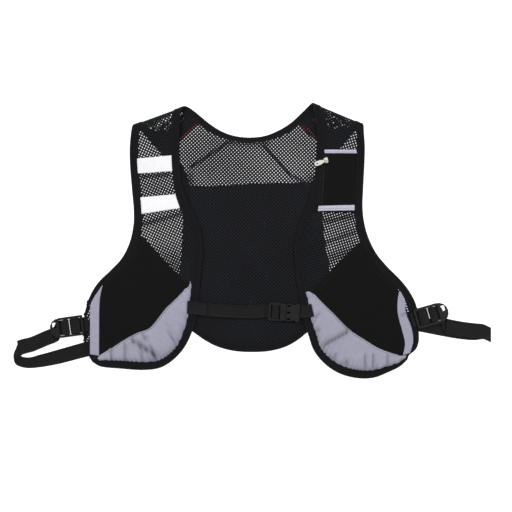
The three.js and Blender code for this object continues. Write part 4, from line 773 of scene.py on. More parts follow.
# ---- Shoulder patches ----------------------------------------------------------------
# A piece of the ripstop between neck and armhole behind each shoulder, sewn in under the
# net with a double row of stitches along its lower edge.
PATCH_MIDDLE = 1.0
PATCH_THICKNESS = 0.8
PATCH_DIP = 0.3
DIP_SHARE = 0.78
black_thread = twisted_thread("black_polyester_thread", "#0c0c0e", "#2b2b30")
for side, (arm_edge, neck_edge) in patches.items():
    grid = patch(arm_edge, neck_edge, [arm_edge[0], neck_edge[0]], [arm_edge[-1], neck_edge[-1]], 36, 30)
    for column in range(grid.shape[1]):
        across = min(1, column / (grid.shape[1] - 1) / DIP_SHARE)
        dip = PATCH_DIP * math.sin(math.pi * across)
        grid[:, column] = resample(grid[:, column], np.linspace(dip, 1, len(grid)))
    piece = make_cloth(
        f"patch_{side}", grid, level, PATCH_MIDDLE, PATCH_THICKNESS, ripstop, "near far", 0.5
    )
    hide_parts(f"shoulder_patch_{side}")
    rows = [(grid[-row], PATCH_MIDDLE + PATCH_THICKNESS / 2) for row in (2, 4)]
    make_stitches(f"patch_seam_{side}", rows, level, 2.8, 2, 0.4, black_thread)


# ---- Red tapes -----------------------------------------------------------------------
# Four short lengths of dark red woven tape, sewn on the shoulder patches beside the neck.
# The net over them leaves only red dots to be seen.
TAPE_WIDTH = 5.5
TAPE_SPACING = 21
TAPE_LENGTH = 38
TAPE_INSET = 5
TAPE_THICKNESS = 0.4

red_tape, shader = new_material("red_polyester_tape_woven", 0.65, Sheen_Weight=0.05)
tree = red_tape.node_tree
uv = cloth_uv(tree)
ribs = product(tree, bands(tree, uv, 1.1, turn=45), bands(tree, uv, 1.1, turn=-45), "MAXIMUM")
finish_cloth(red_tape, shader, "#8e1826", "#e0455a", ribs, 0.1)
red_thread = twisted_thread("red_polyester_thread", "#7a1420", "#b8303f")
for side, (arm_edge, neck_edge) in patches.items():
    start = neck_edge[-1]
    along = arm_edge[-1] - start
    along /= np.linalg.norm(along)
    up = np.array((along[1], -along[0])) * (1 if side == "left" else -1)
    for name, rise, begin in (("lower", 1, 3), ("upper", TAPE_SPACING, 3 + TAPE_INSET)):
        corners = [[start + along * x + up * y for x in (begin, TAPE_LENGTH)] for y in (rise, rise + TAPE_WIDTH)]
        near, far = np.array(corners)
        grid = patch(near, far, [near[0], far[0]], [near[-1], far[-1]], 14, 4)
        height = PATCH_MIDDLE + PATCH_THICKNESS / 2 + TAPE_THICKNESS / 2 + 0.03
        tape = make_cloth(f"tape_{side}_{name}", grid, level, height, TAPE_THICKNESS, red_tape)
        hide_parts(f"red_tape_{side}_{name}")
        rows = [(grid[:, k], height + TAPE_THICKNESS / 2) for k in (1, 3)]
        make_stitches(f"tape_seam_{side}_{name}", rows, level, 2.6, 1.8, 0.2, red_thread)


# ---- Bindings ------------------------------------------------------------------------
# Soft matt knitted tape folded round every edge of the vest, with a full rounded fold
# outside, sewn down near the fold and again near its inner edge.
binding_tape, shader = new_material("polyester_binding_tape_knitted", 0.78, Sheen_Weight=0.06)
tree = binding_tape.node_tree
uv = cloth_uv(tree)
knit = product(tree, bands(tree, uv, 1.0), bands(tree, uv, 1.2, "Y"), "MAXIMUM")
rubbed = add_node(tree, "ShaderNodeTexNoise", None, {"Vector": uv, "Scale": 0.06, "Detail": 4}).outputs[0]
finish_cloth(binding_tape, shader, "#08080b", "#16161b", product(tree, knit, rubbed), 0.1)

BINDING_STEP = 2.2
# Half section of the tape: shares of its width and of its half thickness.
BINDING_SECTION = [(0.0, 0.0), (0.02, 0.5), (0.07, 0.86), (0.15, 1.0), (0.22, 0.93), (0.5, 1.0), (0.74, 0.9)]
BINDING_SECTION += [(0.82, 0.96), (0.95, 0.85), (1.0, 0.4)]
STITCH_PITCH = 3.0
STITCH_LENGTH = 2.1


def make_binding(name, rows, locate, place, side, lying, beyond=0.0):
    """Folded tape along a table's line, its folded edge on the line; lying is its rest height.
    Its ends run on by beyond, under the tape that they are sewn to."""
    line = spline(rows, locate, 12)
    for end, before in ((0, 1), (-1, -2)):
        run = line[end] - line[before]
        line[end] += run / np.linalg.norm(run[:2]) * beyond
    total = lengths_of(line)[-1]
    line = resample(line, np.linspace(0, 1, int(total / BINDING_STEP)))
    run = lengths_of(line)
    inner = inset(line, side, 0.8)
    pucker = 1 + 0.05 * np.sin(run * 2 * math.pi / 6.5 + np.sin(run / 19))
    section = BINDING_SECTION + [(share, -rise) for share, rise in BINDING_SECTION[-1:0:-1]]
    rings, uvs = [], []
    for share, rise in section:
        cloth = line[:, :2] * (1 - share) + inner * share
        lift = rise * BINDING_THICKNESS / 2 * (pucker if 0.1 < share < 0.9 and rise > 0 else 1)
        rings.append(place(cloth[:, 0], cloth[:, 1], lying + lift * np.ones(len(line))))
        uvs.append(np.stack([run, line[:, 2] * share * math.copysign(1, rise)], 1))
    points, around = np.stack(rings, 1).reshape(-1, 3), len(section)
    station = np.arange(len(line) - 1)[:, None] * around
    k = np.arange(around)
    after = (k + 1) % around
    sides = np.stack([station + k, station + after, station + around + after, station + around + k], -1)
    faces = sides.reshape(-1, 4).tolist()
    last = (len(line) - 1) * around
    faces += [list(range(around))[::-1], [last + i for i in range(around)]]
    tape = make_piece(name, points, faces, binding_tape, np.stack(uvs, 1).reshape(-1, 2))
    edge = BINDING_THICKNESS / 2
    near, far = (line[:, :2] * (1 - share) + inner * share for share in (0.17, 0.82))
    seams = [(near, lying + 0.98 * edge), (far, lying + 0.97 * edge)]
    make_stitches(f"{name}_seams", seams, place, STITCH_PITCH, STITCH_LENGTH, 0.42, black_thread)
    return tape


for side in FOLDS:
    place = folded(side)
    opening = make_binding(f"opening_tape_{side}", OPENING[side], on_cloth(side), place, 1, 0)
    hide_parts(f"opening_binding_{side}")
    armhole = make_binding(f"armhole_tape_{side}", ARMHOLE[side], on_cloth(side), place, -1, 0)
    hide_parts(f"armhole_binding_{side}")
neck_tape = make_binding("neck_tape", NECK, on_plan, level, -1, BACK_REST, 3)
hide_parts("neck_binding")
hem_tape = make_binding("hem_tape", BACK_HEM, on_plan, level, 1, BACK_REST, 2)
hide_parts("back_hem_binding")


# ---- Front nets ----------------------------------------------------------------------
# The same air mesh, one panel for each front, from the seam behind the shoulder over the
# fold and down to the hem. Its raw side edge shows below the armhole.
GUSSET = {
    "left": [
        (-1.028, 0.015),
        (-1.047, -0.04),
        (-1.053, -0.12),
        (-1.05, -0.19),
        (-1.034, -0.235),
    ],
    "right": [
        (1.02, -0.1),
        (1.03, -0.145),
        (1.03, -0.18),
        (1.013, -0.215),
        (0.985, -0.232),
    ],
}


def front_middle(cloth):
    """Slow waves of the lying front, as it doesn't quite lie flat on what is under it."""
    a, b = cloth[:, 0], cloth[:, 1]
    return 0.22 * np.sin(a / 17 + b / 29) * ease((b - 12) / 20)


# Bands where a front's net is folded or pulled tight.
FRONT_PULLS = {
    "left": [
        ((-175.0, 198.4), (-127.9, 202.3), 3.2, 0.55),
        ((-170.8, 124.8), (-108.5, 141.4), 3.0, 0.5),
        ((-176.0, 212.0), (-140.0, 224.0), 3.0, 0.4),
        ((-140.0, 80.0), (-105.0, 35.0), 24.0, 0.28),
    ],
    "right": [
        ((96.0, 126.0), (168.0, 140.0), 3.0, 0.5),
        ((112.0, 96.0), (170.0, 118.0), 3.0, 0.4),
        ((108.0, 70.0), (165.0, 86.0), 7.0, 0.3),
    ],
}


def front_openness(side):
    def openness(cloth):
        at = roll(side, cloth[:, 0], cloth[:, 1])
        return pulled(at[:, 0], at[:, 1], FRONT_PULLS[side])

    return openness


for side, lines in LINES.items():
    arm, opening, locate = lines["arm"], lines["opening"], lines["locate"]
    arm_start = int(np.argmax(arm[:, 1] >= SEAM_BEHIND))
    opening_start = int(np.argmax(opening[:, 1] >= SEAM_BEHIND / 2))
    gusset = inset(spline(GUSSET[side], locate), -1, UNDER_BINDING)
    outline = np.vstack([arm[arm_start:], gusset, opening[opening_start:][::-1]])
    turn = 45 if side == "left" else 40
    net = make_net(f"front_net_{side}", outline, folded(side), front_middle, front_openness(side), turn)
    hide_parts(f"front_mesh_{side}")


# ---- Side hems -----------------------------------------------------------------------
# Below each armhole the net is backed by the ripstop, and a narrow tape is folded round
# its edge down to the hem. A few holes of the net show between the two.
SIDE_TAPE_WIDTH = 0.24
SIDE_BACKING = {
    "left": [[(-1.012, 0.05), (-1.04, 0.0)], [(-1.057, -0.07), (-1.06, -0.155)], [(-1.058, -0.185), (-1.03, -0.25)]],
    "right": [[(1.03, -0.03), (1.034, -0.1), (1.038, -0.145), (1.038, -0.18), (1.02, -0.22), (0.985, -0.245)]],
}
BACKING_INNER = {
    "left": [[(-0.93, 0.1), (-0.985, 0.0)], [(-1.0, -0.07), (-1.0, -0.155)], [(-1.0, -0.185), (-0.95, -0.285)]],
    "right": [[(0.965, -0.035), (0.96, -0.1), (0.97, -0.145), (0.975, -0.18), (0.96, -0.22), (0.94, -0.265)]],
}
for side in FOLDS:
    locate, place = on_cloth(side), folded(side)
    rows = [(*row, SIDE_TAPE_WIDTH) for row in (ARMHOLE[side][-1][:2], *GUSSET[side], OPENING[side][-1][:2])]
    make_binding(f"side_tape_{side}", rows, locate, place, -1, 0, 1)
    for number, (outer, inner) in enumerate(zip(SIDE_BACKING[side], BACKING_INNER[side])):
        far, near = spline(outer, locate)[:, :2], spline(inner, locate)[:, :2]
        grid = patch(near, far, [near[0], far[0]], [near[-1], far[-1]], 24, 8)
        make_cloth(f"side_backing_{side}_{number + 1}", grid, place, -0.85, 0.4, ripstop)


# ---- Pockets, reflective panels and side stripes -------------------------------------
# Sewn on the lower part of each front net: a stretch pocket with a hemmed mouth, below it
# a panel of reflective cloth gathered into the hem, and a narrow stripe of it at the side.
POCKET_MOUTH = {
    "left": [
        (-0.69, 0.352),
        (-0.655, 0.318),
        (-0.59, 0.26),
        (-0.513, 0.194),
        (-0.45, 0.14),
        (-0.4, 0.105),
    ],
    "right": [
        (0.672, 0.32),
        (0.622, 0.28),
        (0.55, 0.225),
        (0.478, 0.165),
        (0.422, 0.12),
        (0.372, 0.078),
    ],
}
SWEPT_SEAM = {
    "left": [
        (-0.392, 0.1),
        (-0.478, 0.03),
        (-0.541, -0.018),
        (-0.591, -0.07),
        (-0.645, -0.117),
        (-0.722, -0.14),
        (-0.806, -0.177),
        (-0.878, -0.215),
        (-0.947, -0.248),
    ],
    "right": [
        (0.366, 0.072),
        (0.422, 0.022),
        (0.516, -0.052),
        (0.601, -0.121),
        (0.709, -0.178),
        (0.78, -0.213),
        (0.852, -0.236),
        (0.912, -0.25),
    ],
}
STRIPE_INNER = {
    "left": [
        (-0.934, 0.1),
        (-0.948, 0.05),
        (-0.954, 0),
        (-0.956, -0.13),
        (-0.957, -0.252),
    ],
    "right": [
        (0.914, 0.07),
        (0.904, 0.02),
        (0.905, -0.04),
        (0.93, -0.12),
        (0.95, -0.19),
        (0.938, -0.25),
    ],
}
STRIPE_OUTER = {
    "left": [
        (-0.942, 0.093),
        (-0.99, 0.036),
        (-1.01, 0),
        (-1.013, -0.1),
        (-1.013, -0.245),
    ],
    "right": [
        (0.926, 0.065),
        (0.951, 0.02),
        (0.955, -0.035),
        (0.99, -0.11),
        (1.002, -0.18),
        (0.982, -0.238),
    ],
}
FACE_THICKNESS = 1
OVER_MESH = MESH_THICKNESS / 2 + 0.45
POCKET_FULLNESS = 1.2
PANEL_STEP = 1.1
MOUTH_HEM = 9
FOLD_FULLNESS = 1.2


def shifted(line, amount):
    return inset(line[:, :2], math.copysign(1, amount), abs(amount))


def fold_heights(x, y, folds):
    """Cloth pushed up into narrow ridges, each with a sharp lee side and faded ends: their
    heights, and the painted shade of each ridge: a dark line along its lee side and a softer shade beside it."""
    total, painted_crease_shade = np.zeros_like(x), np.zeros_like(x)
    for start, end, height, width in folds:
        across, along, length = off_line(x, y, (start, end))
        fade = ease(along / (width * 1.5) + 0.4) * ease((length - along) / (width * 1.5) + 0.4)
        total += FOLD_FULLNESS * height * fade * np.exp(-np.abs(across / width) ** 1.5 * np.where(across > 0, 1, 3))
        # Painted shade: a dark line at the foot of each ridge's lee side, and a softer, wider shade over it.
        painted_crease_shade += 0.42 * height * fade * np.exp(-(((across + 0.6) / 0.6 / width) ** 2))
        painted_crease_shade += 0.25 * height * fade * np.exp(-(((across + width) / 1.3 / width) ** 2))
    return total, painted_crease_shade


def make_panel(name, side, edges, material, crown=0.0, folds=(), hem_rows=(), gathers=0.0, tucked="", raised=0.0):
    """A face sewn on a front's net, crowned, folded, and rippled towards its last column, with painted shade along its
    folds and in the valleys of its gathers.
    """
    near, far, start, end = (np.asarray(edge)[:, :2] for edge in edges)
    sizes = [max(lengths_of(p)[-1], lengths_of(q)[-1]) for p, q in ((near, far), (start, end))]
    rows, columns = (max(3, int(size / PANEL_STEP)) for size in sizes)
    grid = patch(near, far, start, end, rows, columns)
    at = roll(side, grid[..., 0], grid[..., 1])
    i, j = np.meshgrid(np.linspace(0, 1, rows + 1), np.linspace(0, 1, columns + 1), indexing="ij")
    dome = (np.sin(math.pi * i) * np.sin(math.pi * j)) ** 0.6
    height = OVER_MESH + FACE_THICKNESS / 2 + raised + crown * dome
    height += dome * 0.18 * (1 + np.sin(grid[..., 0] / 9 + 2 * np.sin(grid[..., 1] / 21)))
    ripple = np.sin(grid[..., 0] / 2.3 + np.sin(grid[..., 0] / 11) * 2) ** 2
    height += gathers * ripple * ease((j - 0.45) / 0.5)
    folded_up, painted_crease_shade = fold_heights(at[..., 0], at[..., 1], folds)
    height += folded_up * ease(np.minimum(np.minimum(i, 1 - i), 1 - j) * 30)
    # Painted shade in the valleys of the gathers towards the hem.
    painted_crease_shade += 0.6 * gathers * (1 - ripple) ** 4 * ease((j - 0.6) / 0.4)
    for first, last, drop in hem_rows:
        height += drop * ((i > first) & (i < last))
    piece = make_cloth(name, grid, folded(side), height, FACE_THICKNESS, material, tucked, 0.6)
    # The painted shade is stored on the points; the film's material darkens its colour by it.
    piece.data.attributes.new("painted_crease_shade", "FLOAT", "POINT").data.foreach_set("value", np.tile(painted_crease_shade.ravel(), 2))
    return piece, grid, height + FACE_THICKNESS / 2


def rise_at(line, grid, height):
    """Height of a face's top at the grid points nearest to a line."""
    away = np.linalg.norm(line[:, None, :2] - grid.reshape(1, -1, 2), axis=-1)
    return height.ravel()[away.argmin(1)]


SEAM_STITCHES = 1.9

# Polyester and elastane stretch cloth: a fine even knit, warm black and quite matt.
stretch_cloth, shader = new_material("elastane_stretch_cloth_knitted", 0.82, Sheen_Weight=0.03)
tree = stretch_cloth.node_tree
uv = cloth_uv(tree)
fine = product(tree, bands(tree, uv, 0.7), bands(tree, uv, 0.7, "Y"))
mottle = add_node(tree, "ShaderNodeTexNoise", None, {"Vector": uv, "Scale": 0.09, "Detail": 5}).outputs[0]
finish_cloth(stretch_cloth, shader, "#0a0a0a", "#141413", product(tree, fine, mottle), 0.08)


def reflective_cloth(name, low, high, roughness, gloss=0.25):
    """Cloth coated with glass beads: a smooth satin film with faint creases and grain, its colour darkened by the
    painted shade of its folds and gathers.
    """
    material, shader = new_material(name, roughness, gloss)
    tree = material.node_tree
    uv = cloth_uv(tree)
    crease = add_node(tree, "ShaderNodeTexNoise", None, {"Vector": uv, "Scale": 0.12, "Detail": 6, "Distortion": 1.2})
    grain = add_node(tree, "ShaderNodeTexNoise", None, {"Vector": uv, "Scale": 1.6, "Detail": 2})
    pattern = product(tree, crease.outputs[0], grain.outputs[0], "ADD")
    pattern = product(tree, product(tree, pattern, 0.3), 0.55, "ADD")
    # Painted shade from the folds and gathers darkens the film's colour here.
    painted_crease_shade = add_node(tree, "ShaderNodeAttribute", {"attribute_name": "painted_crease_shade"}).outputs["Fac"]
    pattern = product(tree, pattern, product(tree, painted_crease_shade, 0.75), "SUBTRACT")
    finish_cloth(material, shader, low, high, pattern, 0.35, 0.5)
    return material


grey_film = reflective_cloth("glass_bead_reflective_cloth", "#4a4954", "#a6a5b7", 0.5)
PANEL_FOLDS = {
    "left": [
        ((-191.4, -52.7), (-148.0, -79.1), 1.7, 3.2),
        ((-171.3, -48.1), (-157.3, -55.8), 1.2, 2.6),
        ((-219.3, -60.5), (-219.3, -84.0), 1.0, 2.4),
        ((-198.2, -58.5), (-198.2, -85.0), 1.1, 2.4),
        ((-172.2, -60.5), (-172.2, -85.0), 1.0, 2.2),
        ((-156.7, -64.5), (-154.0, -85.0), 1.0, 2.2),
        ((-129.4, -27.9), (-131.0, -45.0), 1.0, 2.4),
        ((-125.6, -53.5), (-113.5, -51.2), 1.1, 2.2),
    ],
    "right": [
        ((95.3, -20.2), (104.6, -12.4), 1.0, 2.2),
        ((100.0, -40.3), (106.0, -36.0), 1.1, 2.2),
        ((110.8, -62.0), (149.6, -40.3), 1.7, 3.0),
        ((123.2, -82.2), (131.0, -74.4), 1.1, 2.2),
        ((141.8, -82.2), (146.5, -93.0), 1.1, 2.2),
        ((172.8, -74.0), (172.8, -97.0), 1.0, 2.4),
        ((185.2, -74.0), (185.2, -97.0), 1.0, 2.4),
        ((206.9, -76.0), (208.0, -92.0), 0.9, 2.2),
    ],
}
STRIPE_FOLDS = {"left": [], "right": [((229.6, -16.4), (238.7, -12.9), 1.0, 2.0)]}
POCKET_FOLDS = {
    "left": [((-172.0, 60.0), (-150.0, 20.0), 0.8, 7.0), ((-205.0, 8.0), (-160.0, -12.0), 0.7, 8.0)],
    "right": [((165.0, 62.0), (150.0, 18.0), 0.8, 7.0), ((205.0, 5.0), (165.0, -20.0), 0.7, 8.0)],
}

for side, lines in LINES.items():
    arm, opening, locate = lines["arm"], lines["opening"], lines["locate"]
    mouth, swept = (spline(table[side], locate)[:, :2] for table in (POCKET_MOUTH, SWEPT_SEAM))
    inner, outer = (spline(table[side], locate)[:, :2] for table in (STRIPE_INNER, STRIPE_OUTER))
    arm_edge = arm[nearest(arm, mouth[0]) : nearest(arm, inner[0]) - 1]
    at_mouth = opening[nearest(opening, mouth[-1])]
    seam_up, seam_down = shifted(swept, CLEARANCE), shifted(swept, -CLEARANCE)
    swept_edge = np.vstack([at_mouth, seam_up[2:]])
    stripe_edge = np.vstack([arm_edge[-1:], shifted(inner, -CLEARANCE * 3)[:-1], swept_edge[-1:]])
    top = np.vstack([arm_edge[:1], mouth[2:-2], at_mouth])
    edges = (arm_edge, swept_edge, top, stripe_edge)
    hems = [(0.055, 0.075, -0.25)]
    folds = POCKET_FOLDS[side]
    pocket, grid, height = make_panel(
        f"pocket_face_{side}", side, edges, stretch_cloth, POCKET_FULLNESS, folds, hems, tucked="near end"
    )
    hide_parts(f"pocket_{side}")
    place = folded(side)
    hem = max(3, int(MOUTH_HEM / PANEL_STEP))
    rows = [(grid[:, k], height[:, k]) for k in (1, 8, -2)]
    rows += [(grid[k], height[k]) for k in (1, hem)]
    make_stitches(f"pocket_seams_{side}", rows, place, 2.8, 2, 0.4, black_thread)

    tip = nearest(opening, swept[0])
    hem_edge = opening[tip : nearest(opening, inner[-1]) + 1]
    edges = (seam_down, hem_edge, [seam_down[0], hem_edge[0]], [seam_down[-1], hem_edge[-1]])
    panel, grid, height = make_panel(
        f"reflective_face_{side}", side, edges, grey_film, 0.4, PANEL_FOLDS[side], gathers=0.5, tucked="near far end"
    )
    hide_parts(f"reflective_panel_{side}")
    seam = shifted(swept, -SEAM_STITCHES)
    rows = [(seam, rise_at(seam, grid, height))]
    make_stitches(f"swept_stitches_{side}", rows, place, 3.9, 2.5, 0.6, black_thread)

    edges = (inner, outer, [inner[0], outer[0]], [inner[-1], outer[-1]])
    stripe, grid, height = make_panel(
        f"stripe_{side}", side, edges, grey_film, folds=STRIPE_FOLDS[side]
    )
    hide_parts(f"side_stripe_{side}")


# ---- White strips --------------------------------------------------------------------
# Two bands of bright reflective cloth across the left shoulder strap, sewn under the
# bindings at both ends and along their long edges.
WHITE_STRIPS = [
    ("upper", (0.733, 0.746), (0.657, 0.668)),
    ("lower", (0.538, 0.552), (0.457, 0.482)),
]
white_film = reflective_cloth("glass_bead_white_cloth", "#b4b4c2", "#fafafc", 0.42)
pale_thread = twisted_thread("white_polyester_thread", "#b9b9c0", "#f2f2f5")


def fine_line(side, key):
    return resample(LINES[side][key], np.linspace(0, 1, 900))


def at_height(side, key, v):
    """Index of the point of a front's line at a height, on the front of the fold."""
    line = fine_line(side, key)
    miss = abs(roll(side, line[:, 0], line[:, 1])[:, 1] - v * STRAP_TO_SHOULDER)
    return int(np.argmin(np.where(line[:, 1] < QUARTER_TURN, np.inf, miss)))


def between(side, key, upper, lower):
    return fine_line(side, key)[at_height(side, key, upper) : at_height(side, key, lower) + 1]


for name, upper, lower in WHITE_STRIPS:
    near, far = between("left", "arm", upper[0], lower[0]), between("left", "opening", upper[1], lower[1])
    edges = (near, far, [near[0], far[0]], [near[-1], far[-1]])
    strip, grid, height = make_panel(f"white_band_{name}", "left", edges, white_film, 0.15,
                                     tucked="near")
    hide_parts(f"white_strip_{name}")
    rows = [(grid[k], height[k]) for k in (1, -2)]
    make_stitches(f"white_band_seams_{name}", rows, folded("left"), 2.8, 2, 0.35, pale_thread)


# ---- Chest pocket and zip ------------------------------------------------------------
# A flat pocket of the stretch cloth on the right shoulder strap, with a coil zip down its
# inner side and a band of pale reflective tape above and below it.
CHEST_POCKET = {
    "zip": [(0.466, 0.768), (0.457, 0.69), (0.45, 0.6), (0.442, 0.462)],
    "arm": [(0.64, 0.768), (0.635, 0.69), (0.633, 0.6), (0.637, 0.462)],
}
POCKET_STRIPS = [
    ("upper", [(0.447, 0.775), (0.645, 0.775), (0.651, 0.757), (0.45, 0.757)]),
    ("lower", [(0.412, 0.495), (0.636, 0.5), (0.636, 0.473), (0.406, 0.469)]),
]
ZIP_TAPE_WIDTH = 11
ZIP_CENTRE = 1.8
COIL_PITCH = 1.3
right = folded("right")
locate = LINES["right"]["locate"]
zip_side, arm_side = (spline(CHEST_POCKET[key], locate)[:, :2] for key in ("zip", "arm"))
edges = (zip_side, arm_side, [zip_side[0], arm_side[0]], [zip_side[-1], arm_side[-1]])
folds = [((124.0, 214.0), (138.0, 176.0), 0.5, 6.0)]
pocket, grid, height = make_panel("chest_pocket_face", "right", edges, stretch_cloth, 0.9, folds,
                                  tucked="far")
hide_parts("chest_pocket")
near, far = between("right", "opening", 0.775, 0.469), between("right", "arm", 0.775, 0.469)
grid = patch(near, far, [near[0], far[0]], [near[-1], far[-1]], 36, 16)
make_cloth("chest_pocket_backing", grid, right, 0.82, 0.35, ripstop, "near far", 0.5)
grid = patch(zip_side, arm_side, [zip_side[0], arm_side[0]], [zip_side[-1], arm_side[-1]], *np.subtract(height.shape, 1))
rows = [(grid[1], height[1]), (grid[-2], height[-2]), (grid[:, 1], height[:, 1]), (grid[:, -2], height[:, -2])]
make_stitches("chest_pocket_seams", rows, right, 2.6, 1.9, 0.38, black_thread)

zip_cloth, shader = new_material("polyester_zip_tape_woven", 0.7, Sheen_Weight=0.04)
tree = zip_cloth.node_tree
twill = bands(tree, cloth_uv(tree), 0.8, turn=40)
finish_cloth(zip_cloth, shader, "#070708", "#121214", twill, 0.06)
near, far = shifted(zip_side, -CLEARANCE), shifted(zip_side, -CLEARANCE - ZIP_TAPE_WIDTH)
grid = patch(near, far, [near[0], far[0]], [near[-1], far[-1]], 40, 10)
tape = make_cloth("zip_tape_cloth", grid, right, OVER_MESH + FACE_THICKNESS / 2, FACE_THICKNESS, zip_cloth)
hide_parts("zip_tape")
nylon, shader = new_material("nylon_zip_coil_moulded", 0.35, 0.35)
tree = nylon.node_tree
finish_cloth(nylon, shader, "#101011", "#2c2c2e", bands(tree, cloth_uv(tree), 1.3, turn=90), 0.05)
coil_rise = OVER_MESH + FACE_THICKNESS + 0.2
rows = [(shifted(zip_side, -CLEARANCE - ZIP_CENTRE), coil_rise)]
make_stitches("zip_coil", rows, right, COIL_PITCH, 2.4, 0.8, nylon, across=True)

pale_film = reflective_cloth("glass_bead_pale_cloth", "#6f6e7c", "#c6c4d6", 0.45)
for name, corners in POCKET_STRIPS:
    upper_zip, upper_arm, lower_arm, lower_zip = (np.array(locate(corner)) for corner in corners)
    edges = ([upper_zip, lower_zip], [upper_arm, lower_arm], [upper_zip, upper_arm], [lower_zip, lower_arm])
    strip, grid, height = make_panel(f"pocket_band_{name}", "right", edges, pale_film, raised=0.9)
    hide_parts(f"chest_pocket_strip_{name}")
    middle = len(grid) // 2
    rows = [(grid[middle], height[middle])]
    make_stitches(f"pocket_band_seam_{name}", rows, right, 1.9, 2.4, 0.5, grey_thread)


# ---- Webbing -------------------------------------------------------------------------
# Black polypropylene webbing, woven with fine ribs across and thicker edges. The chest
# strap runs through the buckle, and each side strap through its ladder lock and back.
WEBBING_THICKNESS = 1.4
CHEST_WEBBING_WIDTH = 20
SIDE_WEBBING_WIDTH = 23
# Rows of the routes: the low and the high edge in shares, the middle height, and the
# width's share where the strap stands on its edge.
CHEST_STRAP_LEFT = [
    (-0.4075, -0.041, -0.404, 0.022, 8.1),
    (-0.341, -0.0475, -0.3375, 0.015, 7.6),
    (-0.278, -0.056, -0.278, 0.009, 5.4),
    (-0.141, -0.065, -0.141, 0.002, 4.1),
    (0.016, -0.068, 0.016, 0, 4.0),
]
CHEST_STRAP_RIGHT = [
    (0.297, -0.068, 0.297, 0.003, 7.6),
    (0.34, -0.064, 0.335, 0.005, 8),
    (0.383, -0.055, 0.366, 0.006, 8.5),
]
SIDE_STRAP = {
    "left": [
        (-0.405, -0.13, -0.476, -0.074, 0.75, 1.07),
        (-0.6, -0.175, -0.6, -0.102, 0.75),
        (-0.766, -0.2075, -0.766, -0.13, 0.75),
        (-1.022, -0.256, -1.04, -0.1825, 0.75),
        (-1.203, -0.2925, -1.203, -0.22, 0.75),
        (-1.328, -0.311, -1.328, -0.2475, 0.75, 0.86),
        (-1.419, -0.315, -1.391, -0.26, 0.8, 0.78),
        (-1.478, -0.298, -1.434, -0.257, 1.8, 0.7),
        (-1.491, -0.265, -1.444, -0.252, 3.2, 0.53),
        (-1.478, -0.218, -1.436, -0.247, 2.4, 0.6),
        (-1.456, -0.182, -1.425, -0.246, 1.2, 0.9),
        (-1.388, -0.16, -1.369, -0.232, 0.75),
        (-1.3, -0.132, -1.28, -0.2, 0.75),
        (-1.241, -0.1125, -1.216, -0.177, 0.75),
    ],
    "right": [
        (0.519, -0.066, 0.519, 0.009, 0.75),
        (0.784, -0.1, 0.784, -0.025, 0.75),
        (1.047, -0.133, 1.053, -0.06, 0.75),
        (1.172, -0.155, 1.184, -0.078, 0.75),
        (1.297, -0.172, 1.309, -0.095, 0.75),
        (1.384, -0.177, 1.391, -0.1, 0.75),
        (1.428, -0.17, 1.431, -0.099, 0.9),
        (1.439, -0.168, 1.441, -0.098, 1.7),
        (1.428, -0.166, 1.431, -0.096, 2.5),
        (1.384, -0.167, 1.391, -0.088, 2.65),
        (1.297, -0.16, 1.309, -0.078, 2.65),
        (1.2, -0.142, 1.21, -0.066, 2.65),
    ],
}
SIDE_TAIL = {
    "left": [
        (-1.255, -0.12, -1.235, -0.185, 2.45),
        (-1.3, -0.132, -1.28, -0.2, 2.45),
        (-1.388, -0.16, -1.369, -0.232, 2.5),
        (-1.438, -0.169, -1.413, -0.241, 3.6),
        (-1.469, -0.178, -1.45, -0.25, 5),
    ],
    "right": [
        (1.2, -0.142, 1.21, -0.066, 4.35),
        (1.297, -0.16, 1.309, -0.078, 4.35),
        (1.384, -0.167, 1.391, -0.088, 4.35),
        (1.434, -0.168, 1.436, -0.094, 4.1),
        (1.488, -0.19, 1.488, -0.108, 2.4),
    ],
}
LOCKS = {"left": (-1.053, -0.097, 188, -7.5), "right": (1.016, -0.07, 16, -7)}
LOCK_LENGTH = 52
LOCK_REST = 6.1
RIM_SLOT, MID_SLOT, TAB_SLOT = (0.06, 0.13), (0.36, 0.46), (0.58, 0.72)
TAB_HEIGHT = 5.3
BAR_THICKNESS = 2
BUCKLE_END = (0.2935, -0.039)
BUCKLE_HEADING = -3
BUCKLE_LENGTH = 48
BUCKLE_REST = 5.3
BUCKLE_SLOT, BUCKLE_BACK_SLOT = (0.065, 0.155), (0.3, 0.37)
STRAP_AT_BUCKLE = 3.9

# Woven polypropylene: coarse crosswise ribs, drawn at 1.6 mm so that they show, over a
# satin yarn that catches a soft light.
webbing_weave, shader = new_material("polypropylene_webbing_woven", 0.55, 0.16, Sheen_Weight=0.04)
tree = webbing_weave.node_tree
uv = cloth_uv(tree)
ribs = bands(tree, uv, 1.6)
yarns = bands(tree, uv, 1.3, "Y")
worn = add_node(tree, "ShaderNodeTexNoise", None, {"Vector": uv, "Scale": 0.05, "Detail": 4}).outputs[0]
pattern = product(tree, product(tree, ribs, yarns, "MAXIMUM"), worn)
finish_cloth(webbing_weave, shader, "#080809", "#161618", pattern, 0.14)

# Half section of the webbing: shares of its half width and half thickness, edges rounded.
WEBBING_SECTION = [(-1, 0.0), (-0.985, 0.6), (-0.95, 1.0), (-0.88, 1.0), (-0.84, 0.86), (-0.5, 0.88), (0, 0.9)]
WEBBING_SECTION += [(0.5, 0.88), (0.84, 0.86), (0.88, 1.0), (0.95, 1.0), (0.985, 0.6), (1, 0.0)]


